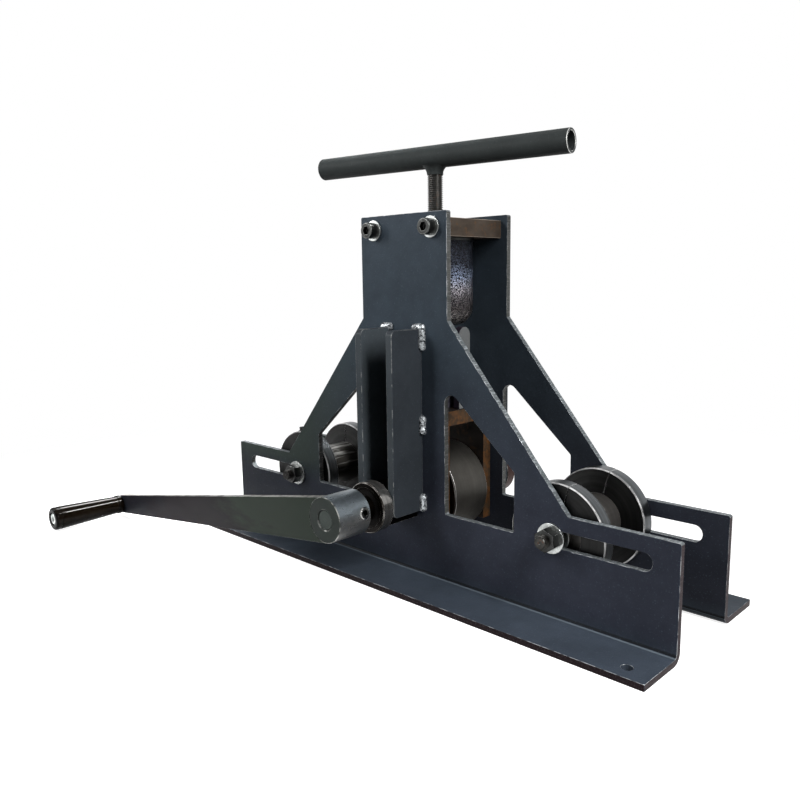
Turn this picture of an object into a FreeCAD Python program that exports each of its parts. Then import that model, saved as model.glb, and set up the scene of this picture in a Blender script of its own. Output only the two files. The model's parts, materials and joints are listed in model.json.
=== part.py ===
import FreeCAD, Part
import os
from math import asin, atan2, cos, degrees, pi, radians, sin, sqrt, tan

# Ring roller: a bench machine that bends bar and tube into rings between three rollers.
# Millimetres. +X runs along the base, +Y goes from the crank side to the back, +Z is up.
# The origin is on the bench surface, in the middle of the four base holes.
# "Front" is the crank side, at negative Y.

# ---- Driving dimensions: fits ----
running_clearance = 0.05      # radial, between a turning piece and what holds it
fixed_clearance = 0.02        # radial, between a pressed or bolted piece and its hole
slide_clearance = 0.1         # on each side of a flat that slides
standoff = 0.3                # between faces that pass each other without touching
bolt_clearance = 0.5          # radial, a bolt in a plain hole
pick_tolerance = 0.001        # for finding an edge or an end by its place or length

# ---- Driving dimensions: side plates ----
plate_thickness = 6.0
plate_gap = 90.0              # between the inner faces of the two plates
base_length = 600.0
base_height = 102.0
base_depth = 212.0            # over both flanges
bend_inner_radius = 4.0
flange_corner_radius = 1.0
tower_width = 118.0
tower_height = 374.0
shoulder_height = 269.0       # where the struts leave the tower
strut_foot_spacing = 394.0    # between the points where the struts meet the base
outline_radius = 2.0
window_inner_spacing = 110.0  # between the upright sides of the two windows
window_outer_spacing = 279.0
window_bottom = 75.0
window_outer_height = 132.5   # where the window's outer side meets its slope
window_apex = 208.2           # where the slope would meet the upright side
window_top_radius = 9.0
shaft_slot_clearance = 2.0    # radial, round the shaft in its upright slot
base_hole_diameter = 10.0
base_hole_spacing_x = 555.0
base_hole_spacing_y = 181.0

# ---- Driving dimensions: top block and its screws ----
block_width = 102.0
block_thickness = 18.0
block_drop = 5.5              # from the tops of the plates down to the block
tapped_hole_spare = 3.0       # depth of a tapped hole past the end of its screw
top_screw_spacing = 79.0
top_screw_diameter = 10.0
top_screw_length = 30.0
top_washer_diameter = 21.0
top_washer_thickness = 2.0

# ---- Driving dimensions: channel bars on the outside of each plate ----
channel_gap = 35.0
channel_bar_thickness = 8.0
channel_bar_depth = 43.0
channel_bottom = 74.0
channel_top = 261.0
channel_bar_corner_radius = 6.0
weld_size = 6.5
weld_length = 22.0
bottom_weld_height = 82.0     # of the middle of each bar's lowest weld
middle_weld_height = 163.0
top_weld_drop = 24.0          # from a bar's top down to the end of its upper weld

# ---- Driving dimensions: carriage ----
shaft_height = 84.0           # shaft axis above the bench with the carriage at its lowest
carriage_travel = 80.0
yoke_width = 84.0
yoke_top = 175.5
yoke_plate_thickness = 15.0
yoke_leg_thickness = 12.0
yoke_leg_gap = 56.0
yoke_leg_bottom = 50.0
upright_width = 18.0
upright_thickness = 8.0
upright_spacing = 62.0        # between the inner faces of the two uprights
upright_stop_gap = 10.0       # left under the block when the carriage is at its highest
yoke_weld_setback = 10.0      # from the ends of the legs
yoke_weld_size = 3.0
bush_wall = 3.0
slide_flange_diameter = 52.0
slide_flange_thickness = 14.0
slide_flange_chamfer = 0.8
slide_body_height = 36.0
slide_body_bore = 22.0
bearing_outer_diameter = 42.0
bearing_width = 12.0
bearing_inner_ring_wall = 3.0
bearing_outer_ring_wall = 3.0
bearing_ball_count = 9
bearing_seal_thickness = 0.8
bearing_seal_inset = 0.4

# ---- Driving dimensions: press screw, its seat and the tee handle ----
screw_diameter = 16.0
screw_collar_diameter = 28.0
screw_collar_thickness = 4.5
thrust_bore = 15.0
thrust_diameter = 28.0
thrust_race_thickness = 2.5
thrust_ball_diameter = 4.0
thrust_ball_count = 12
thrust_pocket_depth = 6.0
collar_washer_thickness = 1.5
cap_diameter = 50.0
cap_height = 12.0
cap_screw_circle = 39.0
cap_screw_diameter = 5.0
cap_screw_length = 20.0
tee_above_block = 65.5        # from the block's top up to the tube's axis
tee_length = 298.0
tee_diameter = 23.2
tee_wall = 2.5
tee_angle = 9.2               # degrees that the tube is turned from the base at rest
tee_weld_reach = 6.0
tee_weld_drop = 7.0

# ---- Driving dimensions: dust sleeve round the screw ----
sleeve_diameter = 76.0
sleeve_wall = 1.5
sleeve_gap = 2.0              # between the sleeve and the uprights
sleeve_bottom_radius = 16.0
sleeve_neck_clearance = 0.5
sleeve_ring_width = 3.0
sleeve_ring_thickness = 2.5

# ---- Driving dimensions: drive shaft and centre roller ----
shaft_diameter = 20.0
shaft_tail = 5.0              # shaft left behind the rear bearing
centre_roller_diameter = 98.0
centre_roller_width = 53.0
roller_chamfer = 1.2
key_width = 6.0
key_height = 6.0
key_length = 44.0
key_seat_depth = 3.5
key_top_clearance = 0.2
thrust_washer_overhang = 4.0  # past the bush that it runs against
circlip_thickness = 1.2
circlip_diameter = 28.0
circlip_groove_depth = 0.8
circlip_mouth = 5.0
shaft_chamfer = 0.8

# ---- Driving dimensions: crank ----
hub_diameter = 45.0
hub_length = 40.0
hub_front = -162.4            # Y of the hub's front face
hub_chamfer = 0.6
hub_bore_chamfer = 0.8
shaft_end_recess = 1.0        # shaft's front end behind the hub's front face
arm_thickness = 8.0
arm_end_width = 23.0
crank_weld_size = 3.5
crank_radius = 430.0
crank_drop_angle = 9.0        # degrees below level at rest
grub_diameter = 12.0
grub_proud = 1.0              # past the hub's side
grub_from_back = 8.0          # grub screw's axis from the hub's rear face
grub_angle = 10.5             # degrees above level
grip_length = 90.0
grip_collar_diameter = 24.0
grip_collar_length = 6.0
grip_root_diameter = 22.5
grip_end_diameter = 29.0
grip_end_radius = 3.0
grip_groove_from_end = 6.5
grip_groove_width = 1.6
grip_groove_depth = 0.7
grip_recess_diameter = 16.0
grip_recess_depth = 4.0
spindle_diameter = 10.0
spindle_head_diameter = 14.0
spindle_head_thickness = 3.0
spindle_socket_depth = 2.0

# ---- Driving dimensions: lower rollers ----
axle_inner_position = 180.7   # X of an axle at the inner end of its slot
axle_travel = 88.0
axle_height = 79.5
axle_diameter = 15.0
axle_thread_diameter = 12.0
axle_overall = 140.0
axle_chamfer = 1.0
axle_centre_diameter = 3.0    # of the cone drilled in each end
slot_clearance = 0.5          # above and below an axle in its slot
axle_nut_flats = 19.0
axle_nut_thickness = 10.0
right_nut_angle = 36.0        # degrees from +X to a corner of the front nut, seen from the front
left_nut_angle = 49.5
axle_washer_diameter = 28.0
axle_washer_thickness = 2.5
inner_washer_thickness = 2.0
axle_spacer_diameter = 25.0
drum_diameter = 50.0
drum_length = 76.0
drum_bush_length = 20.0
drum_relief = 1.0
disc_diameter = 98.0
disc_thickness = 15.0
groove_width = 56.0           # between the two side discs of a roller
disc_slit_width = 1.0
right_slit_angle = 76.0       # degrees anticlockwise from +X, seen from the front
left_slit_angle = 91.0
disc_screw_diameter = 6.0
disc_screw_proud = 5.0

# ---- Places worked out from the driving dimensions ----
plate_inner = plate_gap / 2
plate_outer = plate_inner + plate_thickness
base_half_depth = base_depth / 2
block_top = tower_height - block_drop
block_bottom = block_top - block_thickness
block_middle = block_top - block_thickness / 2
tee_height = block_top + tee_above_block
upright_top = block_bottom - carriage_travel - upright_stop_gap
sleeve_bottom = upright_top + sleeve_gap
channel_front = plate_outer + channel_bar_depth
slot_height = axle_diameter + 2 * slot_clearance
yoke_depth = yoke_leg_gap + 2 * yoke_leg_thickness
yoke_underside = yoke_top - yoke_plate_thickness
bush_outer_radius = shaft_diameter / 2 + running_clearance + bush_wall
slide_flange_inner = channel_front + standoff
slide_flange_outer = slide_flange_inner + slide_flange_thickness
bearing_pitch_radius = (shaft_diameter / 2 + bearing_inner_ring_wall
                        + bearing_outer_diameter / 2 - bearing_outer_ring_wall) / 2
bearing_race_gap = (bearing_outer_diameter / 2 - bearing_outer_ring_wall
                    - shaft_diameter / 2 - bearing_inner_ring_wall)
thrust_floor = yoke_top - thrust_pocket_depth
upper_race_bottom = thrust_floor + thrust_race_thickness + thrust_ball_diameter
collar_bottom = upper_race_bottom + thrust_race_thickness
collar_top = collar_bottom + screw_collar_thickness
collar_washer_top = collar_top + collar_washer_thickness
cap_top = yoke_top + cap_height
tee_underside = tee_height - tee_diameter / 2
hub_back = hub_front + hub_length
grip_x = -crank_radius * cos(radians(crank_drop_angle))
grip_z = shaft_height - crank_radius * sin(radians(crank_drop_angle))
grip_root = hub_front - standoff
grip_end = grip_root - grip_length
disc_inner = groove_width / 2
disc_outer = disc_inner + disc_thickness


# ---- Small shape helpers ----
def vec(x, y, z):
    return FreeCAD.Vector(x, y, z)


def box(x0, x1, y0, y1, z0, z1):
    return Part.makeBox(x1 - x0, y1 - y0, z1 - z0, vec(x0, y0, z0))


def cylinder(start, end, radius):
    axis = end - start
    return Part.makeCylinder(radius, axis.Length, start, axis)


def cylinder_y(x, z, y0, y1, radius):
    return cylinder(vec(x, y0, z), vec(x, y1, z), radius)


def cylinder_z(x, y, z0, z1, radius):
    return cylinder(vec(x, y, z0), vec(x, y, z1), radius)


def ring_y(x, z, y0, y1, inner, outer):
    return cylinder_y(x, z, y0, y1, outer).cut(cylinder_y(x, z, y0, y1, inner))


def ring_z(z0, z1, inner, outer):
    return cylinder_z(0, 0, z0, z1, outer).cut(cylinder_z(0, 0, z0, z1, inner))


def capsule(start, end, radius):
    body = cylinder(start, end, radius)
    return body.fuse([Part.makeSphere(radius, start), Part.makeSphere(radius, end)]).removeSplitter()


def place(shape, origin, axis):
    """Move a shape that was built along +Z from the origin so that it starts at origin, along axis."""
    placed = shape.copy()
    placed.Placement = FreeCAD.Placement(origin, FreeCAD.Rotation(vec(0, 0, 1), axis))
    return placed


def mirror_y(shape):
    return shape.mirror(vec(0, 0, 0), vec(0, 1, 0))


def mirror_x(shape):
    return shape.mirror(vec(0, 0, 0), vec(1, 0, 0))


def rounded_face(corners, to_point):
    """A flat face from (u, v, radius) corners in order; to_point turns (u, v) into a point."""
    count = len(corners)
    entries = []
    for i in range(count):
        u, v, radius = corners[i]
        before = corners[i - 1]
        after = corners[(i + 1) % count]
        if radius == 0:
            entries.append(((u, v), None, (u, v)))
            continue
        in_u, in_v = before[0] - u, before[1] - v
        out_u, out_v = after[0] - u, after[1] - v
        in_length = sqrt(in_u ** 2 + in_v ** 2)
        out_length = sqrt(out_u ** 2 + out_v ** 2)
        in_u, in_v = in_u / in_length, in_v / in_length
        out_u, out_v = out_u / out_length, out_v / out_length
        half = 0.5 * abs(atan2(in_u * out_v - in_v * out_u, in_u * out_u + in_v * out_v))
        reach = radius / tan(half)
        mid_u, mid_v = in_u + out_u, in_v + out_v
        mid_length = sqrt(mid_u ** 2 + mid_v ** 2)
        centre_distance = radius / sin(half)
        arc_distance = centre_distance - radius
        middle = (u + mid_u / mid_length * arc_distance, v + mid_v / mid_length * arc_distance)
        start = (u + in_u * reach, v + in_v * reach)
        end = (u + out_u * reach, v + out_v * reach)
        entries.append((start, middle, end))
    edges = []
    for i in range(count):
        start, middle, end = entries[i]
        if middle is not None:
            edges.append(Part.Arc(to_point(*start), to_point(*middle), to_point(*end)).toShape())
        following = entries[(i + 1) % count][0]
        if to_point(*end).distanceToPoint(to_point(*following)) > pick_tolerance:
            edges.append(Part.LineSegment(to_point(*end), to_point(*following)).toShape())
    return Part.Face(Part.Wire(edges))


def prism_y(corners, y0, y1):
    """Extrude an outline given in X and Z from y0 to y1."""
    face = rounded_face(corners, lambda u, v: vec(u, y0, v))
    return face.extrude(vec(0, y1 - y0, 0))


def prism_x(corners, x0, x1):
    """Extrude an outline given in Y and Z from x0 to x1."""
    face = rounded_face(corners, lambda u, v: vec(x0, u, v))
    return face.extrude(vec(x1 - x0, 0, 0))


def hexagon(flats, height, corner_angle=0.0):
    radius = flats / 2 / cos(pi / 6)
    angles = [radians(corner_angle + 60 * i) for i in range(6)]
    points = [vec(radius * cos(angle), radius * sin(angle), 0) for angle in angles]
    return Part.Face(Part.makePolygon(points + points[:1])).extrude(vec(0, 0, height))


def hex_nut(flats, height, bore_radius, corner_angle):
    chamfer = 0.08 * flats
    limit = Part.makeCylinder(flats / 2 / cos(pi / 6), height)
    limit = limit.makeChamfer(chamfer / 2, chamfer, [limit.Edges[0], limit.Edges[2]])
    nut = hexagon(flats, height, corner_angle).common(limit)
    return nut.cut(Part.makeCylinder(bore_radius, height))


def socket_screw(diameter, length):
    """Socket head cap screw with its seat at the origin and its head along +Z."""
    head_radius = 0.8 * diameter
    head = Part.makeCylinder(head_radius, diameter)
    top_edge = [edge for edge in head.Edges if abs(edge.CenterOfMass.z - diameter) < pick_tolerance]
    head = head.makeChamfer(0.07 * diameter, top_edge)
    socket = hexagon(0.8 * diameter, 0.55 * diameter)
    socket.translate(vec(0, 0, 0.45 * diameter))
    shank = Part.makeCylinder(diameter / 2, length, vec(0, 0, 0), vec(0, 0, -1))
    return head.cut(socket).fuse(shank).removeSplitter()


def set_screw(diameter, length):
    """Headless socket screw from the origin along +Z, with its socket at the far end."""
    body = Part.makeCylinder(diameter / 2, length)
    far_edge = [edge for edge in body.Edges if abs(edge.CenterOfMass.z - length) < pick_tolerance]
    body = body.makeChamfer(0.08 * diameter, far_edge)
    depth = 0.5 * diameter
    socket = hexagon(0.5 * diameter, depth)
    socket.translate(vec(0, 0, length - depth))
    return body.cut(socket)


def chamfered_cylinder_y(x, z, y0, y1, radius, chamfer):
    body = cylinder_y(x, z, y0, y1, radius)
    rims = [edge for edge in body.Edges if abs(edge.Length - 2 * pi * radius) < pick_tolerance]
    return body.makeChamfer(chamfer, rims)


def save(node, shapes):
    """Write one node. A list is a group of separate solids."""
    shape = shapes
    if isinstance(shapes, list):
        shape = Part.makeCompound(shapes)
    count = len(shape.Solids)
    expected = len(shapes) if isinstance(shapes, list) else 1
    if count != expected or not shape.isValid():
        print("CHECK", node, "solids", count, "expected", expected, "valid", shape.isValid())
    shape.exportStep("parts/" + node + ".step")


# ---- Side plates: folded sheet with tower, struts, base and flange ----
def plate_outline():
    half_base = base_length / 2
    half_foot = strut_foot_spacing / 2
    half_tower = tower_width / 2
    bottom = plate_thickness + bend_inner_radius
    right = [(half_base, bottom, 0),
             (half_base, base_height, outline_radius),
             (half_foot, base_height, outline_radius),
             (half_tower, shoulder_height, outline_radius),
             (half_tower, tower_height, outline_radius)]
    left = [(-u, v, radius) for u, v, radius in reversed(right)]
    return right + left


def window_outline():
    inner = window_inner_spacing / 2
    outer = window_outer_spacing / 2
    return [(inner, window_bottom, outline_radius),
            (outer, window_bottom, outline_radius),
            (outer, window_outer_height, outline_radius),
            (inner, window_apex, window_top_radius)]


def long_slot(x0, x1, z, height, y0, y1):
    radius = height / 2
    middle = box(x0 + radius, x1 - radius, y0, y1, z - radius, z + radius)
    ends = [cylinder_y(x0 + radius, z, y0, y1, radius), cylinder_y(x1 - radius, z, y0, y1, radius)]
    return middle.fuse(ends).removeSplitter()


def side_plate():
    """The front plate; the rear one is its mirror image."""
    front, back = -plate_outer, -plate_inner
    plate = prism_y(plate_outline(), front, back)
    bend_centre_y = front - bend_inner_radius
    bend_centre_z = plate_thickness + bend_inner_radius
    half_base = base_length / 2
    outer_bend = bend_inner_radius + plate_thickness
    bend_axis = cylinder(vec(-half_base, bend_centre_y, bend_centre_z),
                         vec(half_base, bend_centre_y, bend_centre_z), outer_bend)
    bend_hollow = cylinder(vec(-half_base, bend_centre_y, bend_centre_z),
                           vec(half_base, bend_centre_y, bend_centre_z), bend_inner_radius)
    quarter = box(-half_base, half_base, bend_centre_y, back, 0, bend_centre_z)
    bend = bend_axis.cut(bend_hollow).common(quarter)
    flange = box(-half_base, half_base, -base_half_depth, bend_centre_y, 0, plate_thickness)
    corners = [edge for edge in flange.Edges
               if abs(edge.Length - plate_thickness) < pick_tolerance
               and abs(edge.CenterOfMass.y + base_half_depth) < pick_tolerance
               and abs(edge.CenterOfMass.z - plate_thickness / 2) < pick_tolerance]
    flange = flange.makeFillet(flange_corner_radius, corners)
    plate = plate.fuse([bend, flange]).removeSplitter()
    window = prism_y(window_outline(), front, back)
    slot_inner = axle_inner_position - slot_height / 2
    slot_outer = axle_inner_position + axle_travel + slot_height / 2
    slot = long_slot(slot_inner, slot_outer, axle_height, slot_height, front, back)
    cuts = [window, mirror_x(window), slot, mirror_x(slot), shaft_slot(front, back)]
    for side in (-1, 1):
        cuts.append(cylinder_z(side * base_hole_spacing_x / 2, -base_hole_spacing_y / 2,
                               0, plate_thickness, base_hole_diameter / 2))
        cuts.append(cylinder_y(side * top_screw_spacing / 2, block_middle, front, back,
                               top_screw_diameter / 2 + bolt_clearance))
    return plate.cut(cuts)


def shaft_slot(y0, y1):
    """Upright slot that lets the shaft rise with the carriage."""
    radius = shaft_diameter / 2 + shaft_slot_clearance
    top = shaft_height + carriage_travel
    middle = box(-radius, radius, y0, y1, shaft_height, top)
    ends = [cylinder_y(0, shaft_height, y0, y1, radius), cylinder_y(0, top, y0, y1, radius)]
    return middle.fuse(ends).removeSplitter()


# ---- Top block, its screws and washers ----
def top_block():
    half = block_width / 2
    block = box(-half, half, -plate_inner, plate_inner, block_bottom, block_top)
    cuts = [cylinder_z(0, 0, block_bottom, block_top, screw_diameter / 2 + running_clearance)]
    depth = top_screw_length - plate_thickness - top_washer_thickness + tapped_hole_spare
    for side in (-1, 1):
        for end in (-1, 1):
            x = side * top_screw_spacing / 2
            cuts.append(cylinder_y(x, block_middle, end * plate_inner, end * (plate_inner - depth),
                                   top_screw_diameter / 2 + fixed_clearance))
    return block.cut(cuts)


def top_fasteners():
    screws, washers = [], []
    for side in (-1, 1):
        for end in (-1, 1):
            x = side * top_screw_spacing / 2
            seat = end * (plate_outer + top_washer_thickness)
            screw = socket_screw(top_screw_diameter, top_screw_length)
            screws.append(place(screw, vec(x, seat, block_middle), vec(0, end, 0)))
            washer = ring_y(x, block_middle, min(seat, end * plate_outer), max(seat, end * plate_outer),
                            top_screw_diameter / 2 + bolt_clearance / 2, top_washer_diameter / 2)
            washers.append(washer)
    return screws, washers


# ---- Channel bars that guide the slide blocks ----
def channel_bars():
    """The two bars on the front plate, left then right."""
    inner = channel_gap / 2
    corners = [(-plate_outer, channel_bottom, 0),
               (-plate_outer, channel_top, 0),
               (-channel_front, channel_top, channel_bar_corner_radius),
               (-channel_front, channel_bottom, channel_bar_corner_radius)]
    right = prism_x(corners, inner, inner + channel_bar_thickness)
    return mirror_x(right), right


def channel_welds(right_bar, plate):
    """Two welds along the outer foot of each bar, and one that goes over its top end."""
    foot_x = channel_gap / 2 + channel_bar_thickness
    y = -plate_outer
    reach = weld_length / 2 - weld_size
    beads = []
    for z in (bottom_weld_height, middle_weld_height):
        beads.append(capsule(vec(foot_x, y, z - reach), vec(foot_x, y, z + reach), weld_size))
    down = capsule(vec(foot_x, y, channel_top - top_weld_drop + weld_size),
                   vec(foot_x, y, channel_top), weld_size)
    across = capsule(vec(channel_gap / 2, y, channel_top), vec(foot_x, y, channel_top), weld_size)
    beads.append(down.fuse(across).removeSplitter())
    channel = box(-channel_gap / 2, channel_gap / 2, -channel_front, 0, 0, channel_top)
    solids = []
    for bead in beads:
        solid = bead.cut([right_bar, plate, channel]).Solids[0]
        solids += [solid, mirror_x(solid)]
    return solids


# ---- Yoke: top plate, two legs and two uprights, welded together ----
def yoke_top_plate():
    half = yoke_width / 2
    plate = box(-half, half, -yoke_depth / 2, yoke_depth / 2, yoke_underside, yoke_top)
    cuts = [cylinder_z(0, 0, thrust_floor, yoke_top, thrust_diameter / 2 + fixed_clearance)]
    for x, y in cap_screw_places():
        depth = cap_screw_length - cap_height + tapped_hole_spare
        cuts.append(cylinder_z(x, y, yoke_top - depth, yoke_top, cap_screw_diameter / 2 + fixed_clearance))
    return plate.cut(cuts)


def yoke_leg():
    """The front leg, with its bore for the shaft bush."""
    half = yoke_width / 2
    y0 = -yoke_depth / 2
    y1 = -yoke_leg_gap / 2
    leg = box(-half, half, y0, y1, yoke_leg_bottom, yoke_underside)
    return leg.cut(cylinder_y(0, shaft_height, y0, y1, bush_outer_radius + fixed_clearance))


def shaft_bush():
    y0 = -yoke_depth / 2
    y1 = -yoke_leg_gap / 2
    return ring_y(0, shaft_height, y0, y1, shaft_diameter / 2 + running_clearance, bush_outer_radius)


def upright():
    """The right upright: a flat bar with a round top, standing beside the screw."""
    half = upright_width / 2
    inner = upright_spacing / 2
    corners = [(-half, yoke_top, 0), (half, yoke_top, 0),
               (half, upright_top, half), (-half, upright_top, half)]
    return prism_x(corners, inner, inner + upright_thickness)


def yoke_welds():
    size = yoke_weld_size
    reach = yoke_width / 2 - yoke_weld_setback
    leg_face = yoke_leg_gap / 2
    beads = []
    legs = [yoke_leg(), mirror_y(yoke_leg())]
    plate = box(-yoke_width, yoke_width, -yoke_depth, yoke_depth, yoke_underside, yoke_top)
    for side in (-1, 1):
        y = side * leg_face
        bead = capsule(vec(-reach, y, yoke_underside), vec(reach, y, yoke_underside), size)
        beads.append(bead.cut([plate] + legs).Solids[0])
    upright_inner = upright_spacing / 2
    foot = upright_width / 2 - size
    for side in (-1, 1):
        x = side * upright_inner
        bead = capsule(vec(x, -foot, yoke_top), vec(x, foot, yoke_top), size)
        bar = upright() if side > 0 else mirror_x(upright())
        beads.append(bead.cut([plate, bar]).Solids[0])
    return beads


# ---- Screw seat: retaining cap, thrust bearing and collar washer ----
def cap_screw_places():
    radius = cap_screw_circle / 2
    return [(radius * cos(a), radius * sin(a)) for a in [pi / 4 + i * pi / 2 for i in range(4)]]


def retaining_cap():
    cap = cylinder_z(0, 0, yoke_top, cap_top, cap_diameter / 2)
    rim = [edge for edge in cap.Edges if abs(edge.CenterOfMass.z - cap_top) < pick_tolerance]
    cap = cap.makeChamfer(1.0, rim)
    cuts = [cylinder_z(0, 0, yoke_top, collar_washer_top + slide_clearance,
                       screw_collar_diameter / 2 + bolt_clearance),
            cylinder_z(0, 0, yoke_top, cap_top, screw_diameter / 2 + bolt_clearance)]
    for x, y in cap_screw_places():
        cuts.append(cylinder_z(x, y, yoke_top, cap_top, cap_screw_diameter / 2 + bolt_clearance / 2))
    return cap.cut(cuts)


def retaining_cap_screws():
    screw = socket_screw(cap_screw_diameter, cap_screw_length)
    return [place(screw, vec(x, y, cap_top), vec(0, 0, 1)) for x, y in cap_screw_places()]


def thrust_balls():
    radius = (thrust_bore + thrust_diameter) / 4
    z = thrust_floor + thrust_race_thickness + thrust_ball_diameter / 2
    step = 2 * pi / thrust_ball_count
    return [Part.makeSphere(thrust_ball_diameter / 2 - running_clearance,
                            vec(radius * cos(i * step), radius * sin(i * step), z))
            for i in range(thrust_ball_count)]


# ---- Press screw and tee handle ----
def tee_tube(radius):
    half = tee_length / 2
    angle = radians(tee_angle)
    along = vec(cos(angle), sin(angle), 0)
    centre = vec(0, 0, tee_height)
    return cylinder(centre - along * half, centre + along * half, radius)


def press_screw():
    nose = cylinder_z(0, 0, thrust_floor + thrust_race_thickness / 2, collar_bottom,
                      thrust_bore / 2 - running_clearance)
    collar = cylinder_z(0, 0, collar_bottom, collar_top, screw_collar_diameter / 2)
    rod = cylinder_z(0, 0, collar_top, tee_height, screw_diameter / 2)
    screw = nose.fuse([collar, rod]).removeSplitter()
    return screw.cut(tee_tube(tee_diameter / 2))


def tee_weld():
    """Fillet round the screw where it meets the underside of the tube."""
    radius = screw_diameter / 2
    low = tee_underside - tee_weld_drop
    height = tee_weld_drop + tee_wall
    cone = Part.makeCone(radius, radius + tee_weld_reach, height, vec(0, 0, low))
    weld = cone.cut([tee_tube(tee_diameter / 2), cylinder_z(0, 0, low, tee_height, radius)])
    return weld.Solids[0]


# ---- Dust sleeve: a soft bag round the screw that hangs under the block ----
def dust_sleeve():
    outer = sleeve_diameter / 2
    inner = outer - sleeve_wall
    neck = screw_diameter / 2 + sleeve_neck_clearance
    corners = [(neck, sleeve_bottom, 0),
               (outer, sleeve_bottom, sleeve_bottom_radius),
               (outer, block_bottom, 0),
               (inner, block_bottom, 0),
               (inner, sleeve_bottom + sleeve_wall, sleeve_bottom_radius - sleeve_wall),
               (neck, sleeve_bottom + sleeve_wall, 0)]
    face = rounded_face(corners, lambda u, v: vec(u, 0, v))
    return face.revolve(vec(0, 0, 0), vec(0, 0, 1), 360)


def dust_sleeve_ring():
    """Clamp ring that holds the sleeve's mouth under the block."""
    inner = sleeve_diameter / 2 + fixed_clearance
    outer = sleeve_diameter / 2 + sleeve_ring_width
    return ring_z(block_bottom - sleeve_ring_thickness, block_bottom, inner, outer)


# ---- Slide blocks with their ball bearings ----
def slide_block():
    """The front block: a round flange with a bearing pocket, and a body that slides in the channel."""
    flange_front = -slide_flange_outer
    flange_back = -slide_flange_inner
    body_half = channel_gap / 2 - slide_clearance
    flange = chamfered_cylinder_y(0, shaft_height, flange_front, flange_back,
                                  slide_flange_diameter / 2, slide_flange_chamfer)
    body = box(-body_half, body_half, flange_back, -plate_outer - standoff,
               shaft_height - slide_body_height / 2, shaft_height + slide_body_height / 2)
    bore = cylinder_y(0, shaft_height, flange_front, -plate_outer, slide_body_bore / 2)
    pocket = cylinder_y(0, shaft_height, flange_front, flange_front + bearing_width,
                        bearing_outer_diameter / 2 + fixed_clearance)
    return flange.fuse(body).removeSplitter().cut([bore, pocket])


def bearing_pieces():
    """Outer ring, inner ring, balls and seals of the front bearing."""
    y0 = -slide_flange_outer
    y1 = y0 + bearing_width
    outer_radius = bearing_outer_diameter / 2
    outer_inside = outer_radius - bearing_outer_ring_wall
    inner_outside = shaft_diameter / 2 + bearing_inner_ring_wall
    outer_ring = ring_y(0, shaft_height, y0, y1, outer_inside, outer_radius)
    inner_ring = ring_y(0, shaft_height, y0, y1, shaft_diameter / 2 + fixed_clearance, inner_outside)
    ball_radius = bearing_race_gap / 2 - running_clearance
    step = 2 * pi / bearing_ball_count
    balls = []
    for i in range(bearing_ball_count):
        x = bearing_pitch_radius * cos(i * step)
        z = shaft_height + bearing_pitch_radius * sin(i * step)
        balls.append(Part.makeSphere(ball_radius, vec(x, (y0 + y1) / 2, z)))
    seals = []
    for start in (y0 + bearing_seal_inset, y1 - bearing_seal_inset - bearing_seal_thickness):
        seals.append(ring_y(0, shaft_height, start, start + bearing_seal_thickness,
                            inner_outside + slide_clearance, outer_inside))
    return outer_ring, inner_ring, balls, seals


# ---- Drive shaft, key and centre roller ----
def drive_shaft():
    tail = slide_flange_outer + shaft_tail
    shaft = chamfered_cylinder_y(0, shaft_height, hub_front + shaft_end_recess, tail,
                                 shaft_diameter / 2, shaft_chamfer)
    groove = ring_y(0, shaft_height, slide_flange_outer, slide_flange_outer + circlip_thickness,
                    shaft_diameter / 2 - circlip_groove_depth, shaft_diameter)
    seat = box(-key_width / 2, key_width / 2, -key_length / 2, key_length / 2,
               shaft_height + shaft_diameter / 2 - key_seat_depth, shaft_height + shaft_diameter)
    return shaft.cut([groove, seat])


def key_bottom():
    return shaft_height + shaft_diameter / 2 - key_seat_depth


def roller_key():
    return box(-key_width / 2, key_width / 2, -key_length / 2, key_length / 2,
               key_bottom(), key_bottom() + key_height)


def centre_roller():
    half = centre_roller_width / 2
    roller = chamfered_cylinder_y(0, shaft_height, -half, half, centre_roller_diameter / 2, roller_chamfer)
    bore = cylinder_y(0, shaft_height, -half, half, shaft_diameter / 2 + fixed_clearance)
    keyway_top = key_bottom() + key_height + key_top_clearance
    keyway = box(-key_width / 2, key_width / 2, -half, half, shaft_height, keyway_top)
    return roller.cut([bore, keyway])


def roller_thrust_washers():
    inner = centre_roller_width / 2
    thickness = yoke_leg_gap / 2 - inner - slide_clearance
    front = ring_y(0, shaft_height, -inner - thickness, -inner, shaft_diameter / 2 + bolt_clearance / 2,
                   bush_outer_radius + thrust_washer_overhang)
    return [front, mirror_y(front)]


def circlip():
    y0 = slide_flange_outer
    y1 = y0 + circlip_thickness
    clip = ring_y(0, shaft_height, y0, y1, shaft_diameter / 2 - circlip_groove_depth, circlip_diameter / 2)
    half_mouth = circlip_mouth / 2
    mouth = box(-half_mouth, half_mouth, y0, y1, shaft_height, shaft_height + circlip_diameter)
    return clip.cut(mouth)


def shaft_spacer():
    return ring_y(0, shaft_height, hub_back, -slide_flange_outer, shaft_diameter / 2 + fixed_clearance,
                  shaft_diameter / 2 + bearing_inner_ring_wall)


# ---- Crank: hub, arm, grub screw, spindle and grip ----
def crank_hub():
    bore_radius = shaft_diameter / 2 + fixed_clearance
    hub = chamfered_cylinder_y(0, shaft_height, hub_front, hub_back, hub_diameter / 2, hub_chamfer)
    bore = cylinder_y(0, shaft_height, hub_front, hub_back, bore_radius)
    mouth = Part.makeCone(bore_radius + hub_bore_chamfer, bore_radius, hub_bore_chamfer,
                          vec(0, hub_front, shaft_height), vec(0, 1, 0))
    return hub.cut([bore, mouth, grub_hole()])


def grub_axis():
    return vec(cos(radians(grub_angle)), 0, sin(radians(grub_angle)))


def grub_start():
    return vec(0, hub_back - grub_from_back, shaft_height) + grub_axis() * (shaft_diameter / 2)


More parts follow.
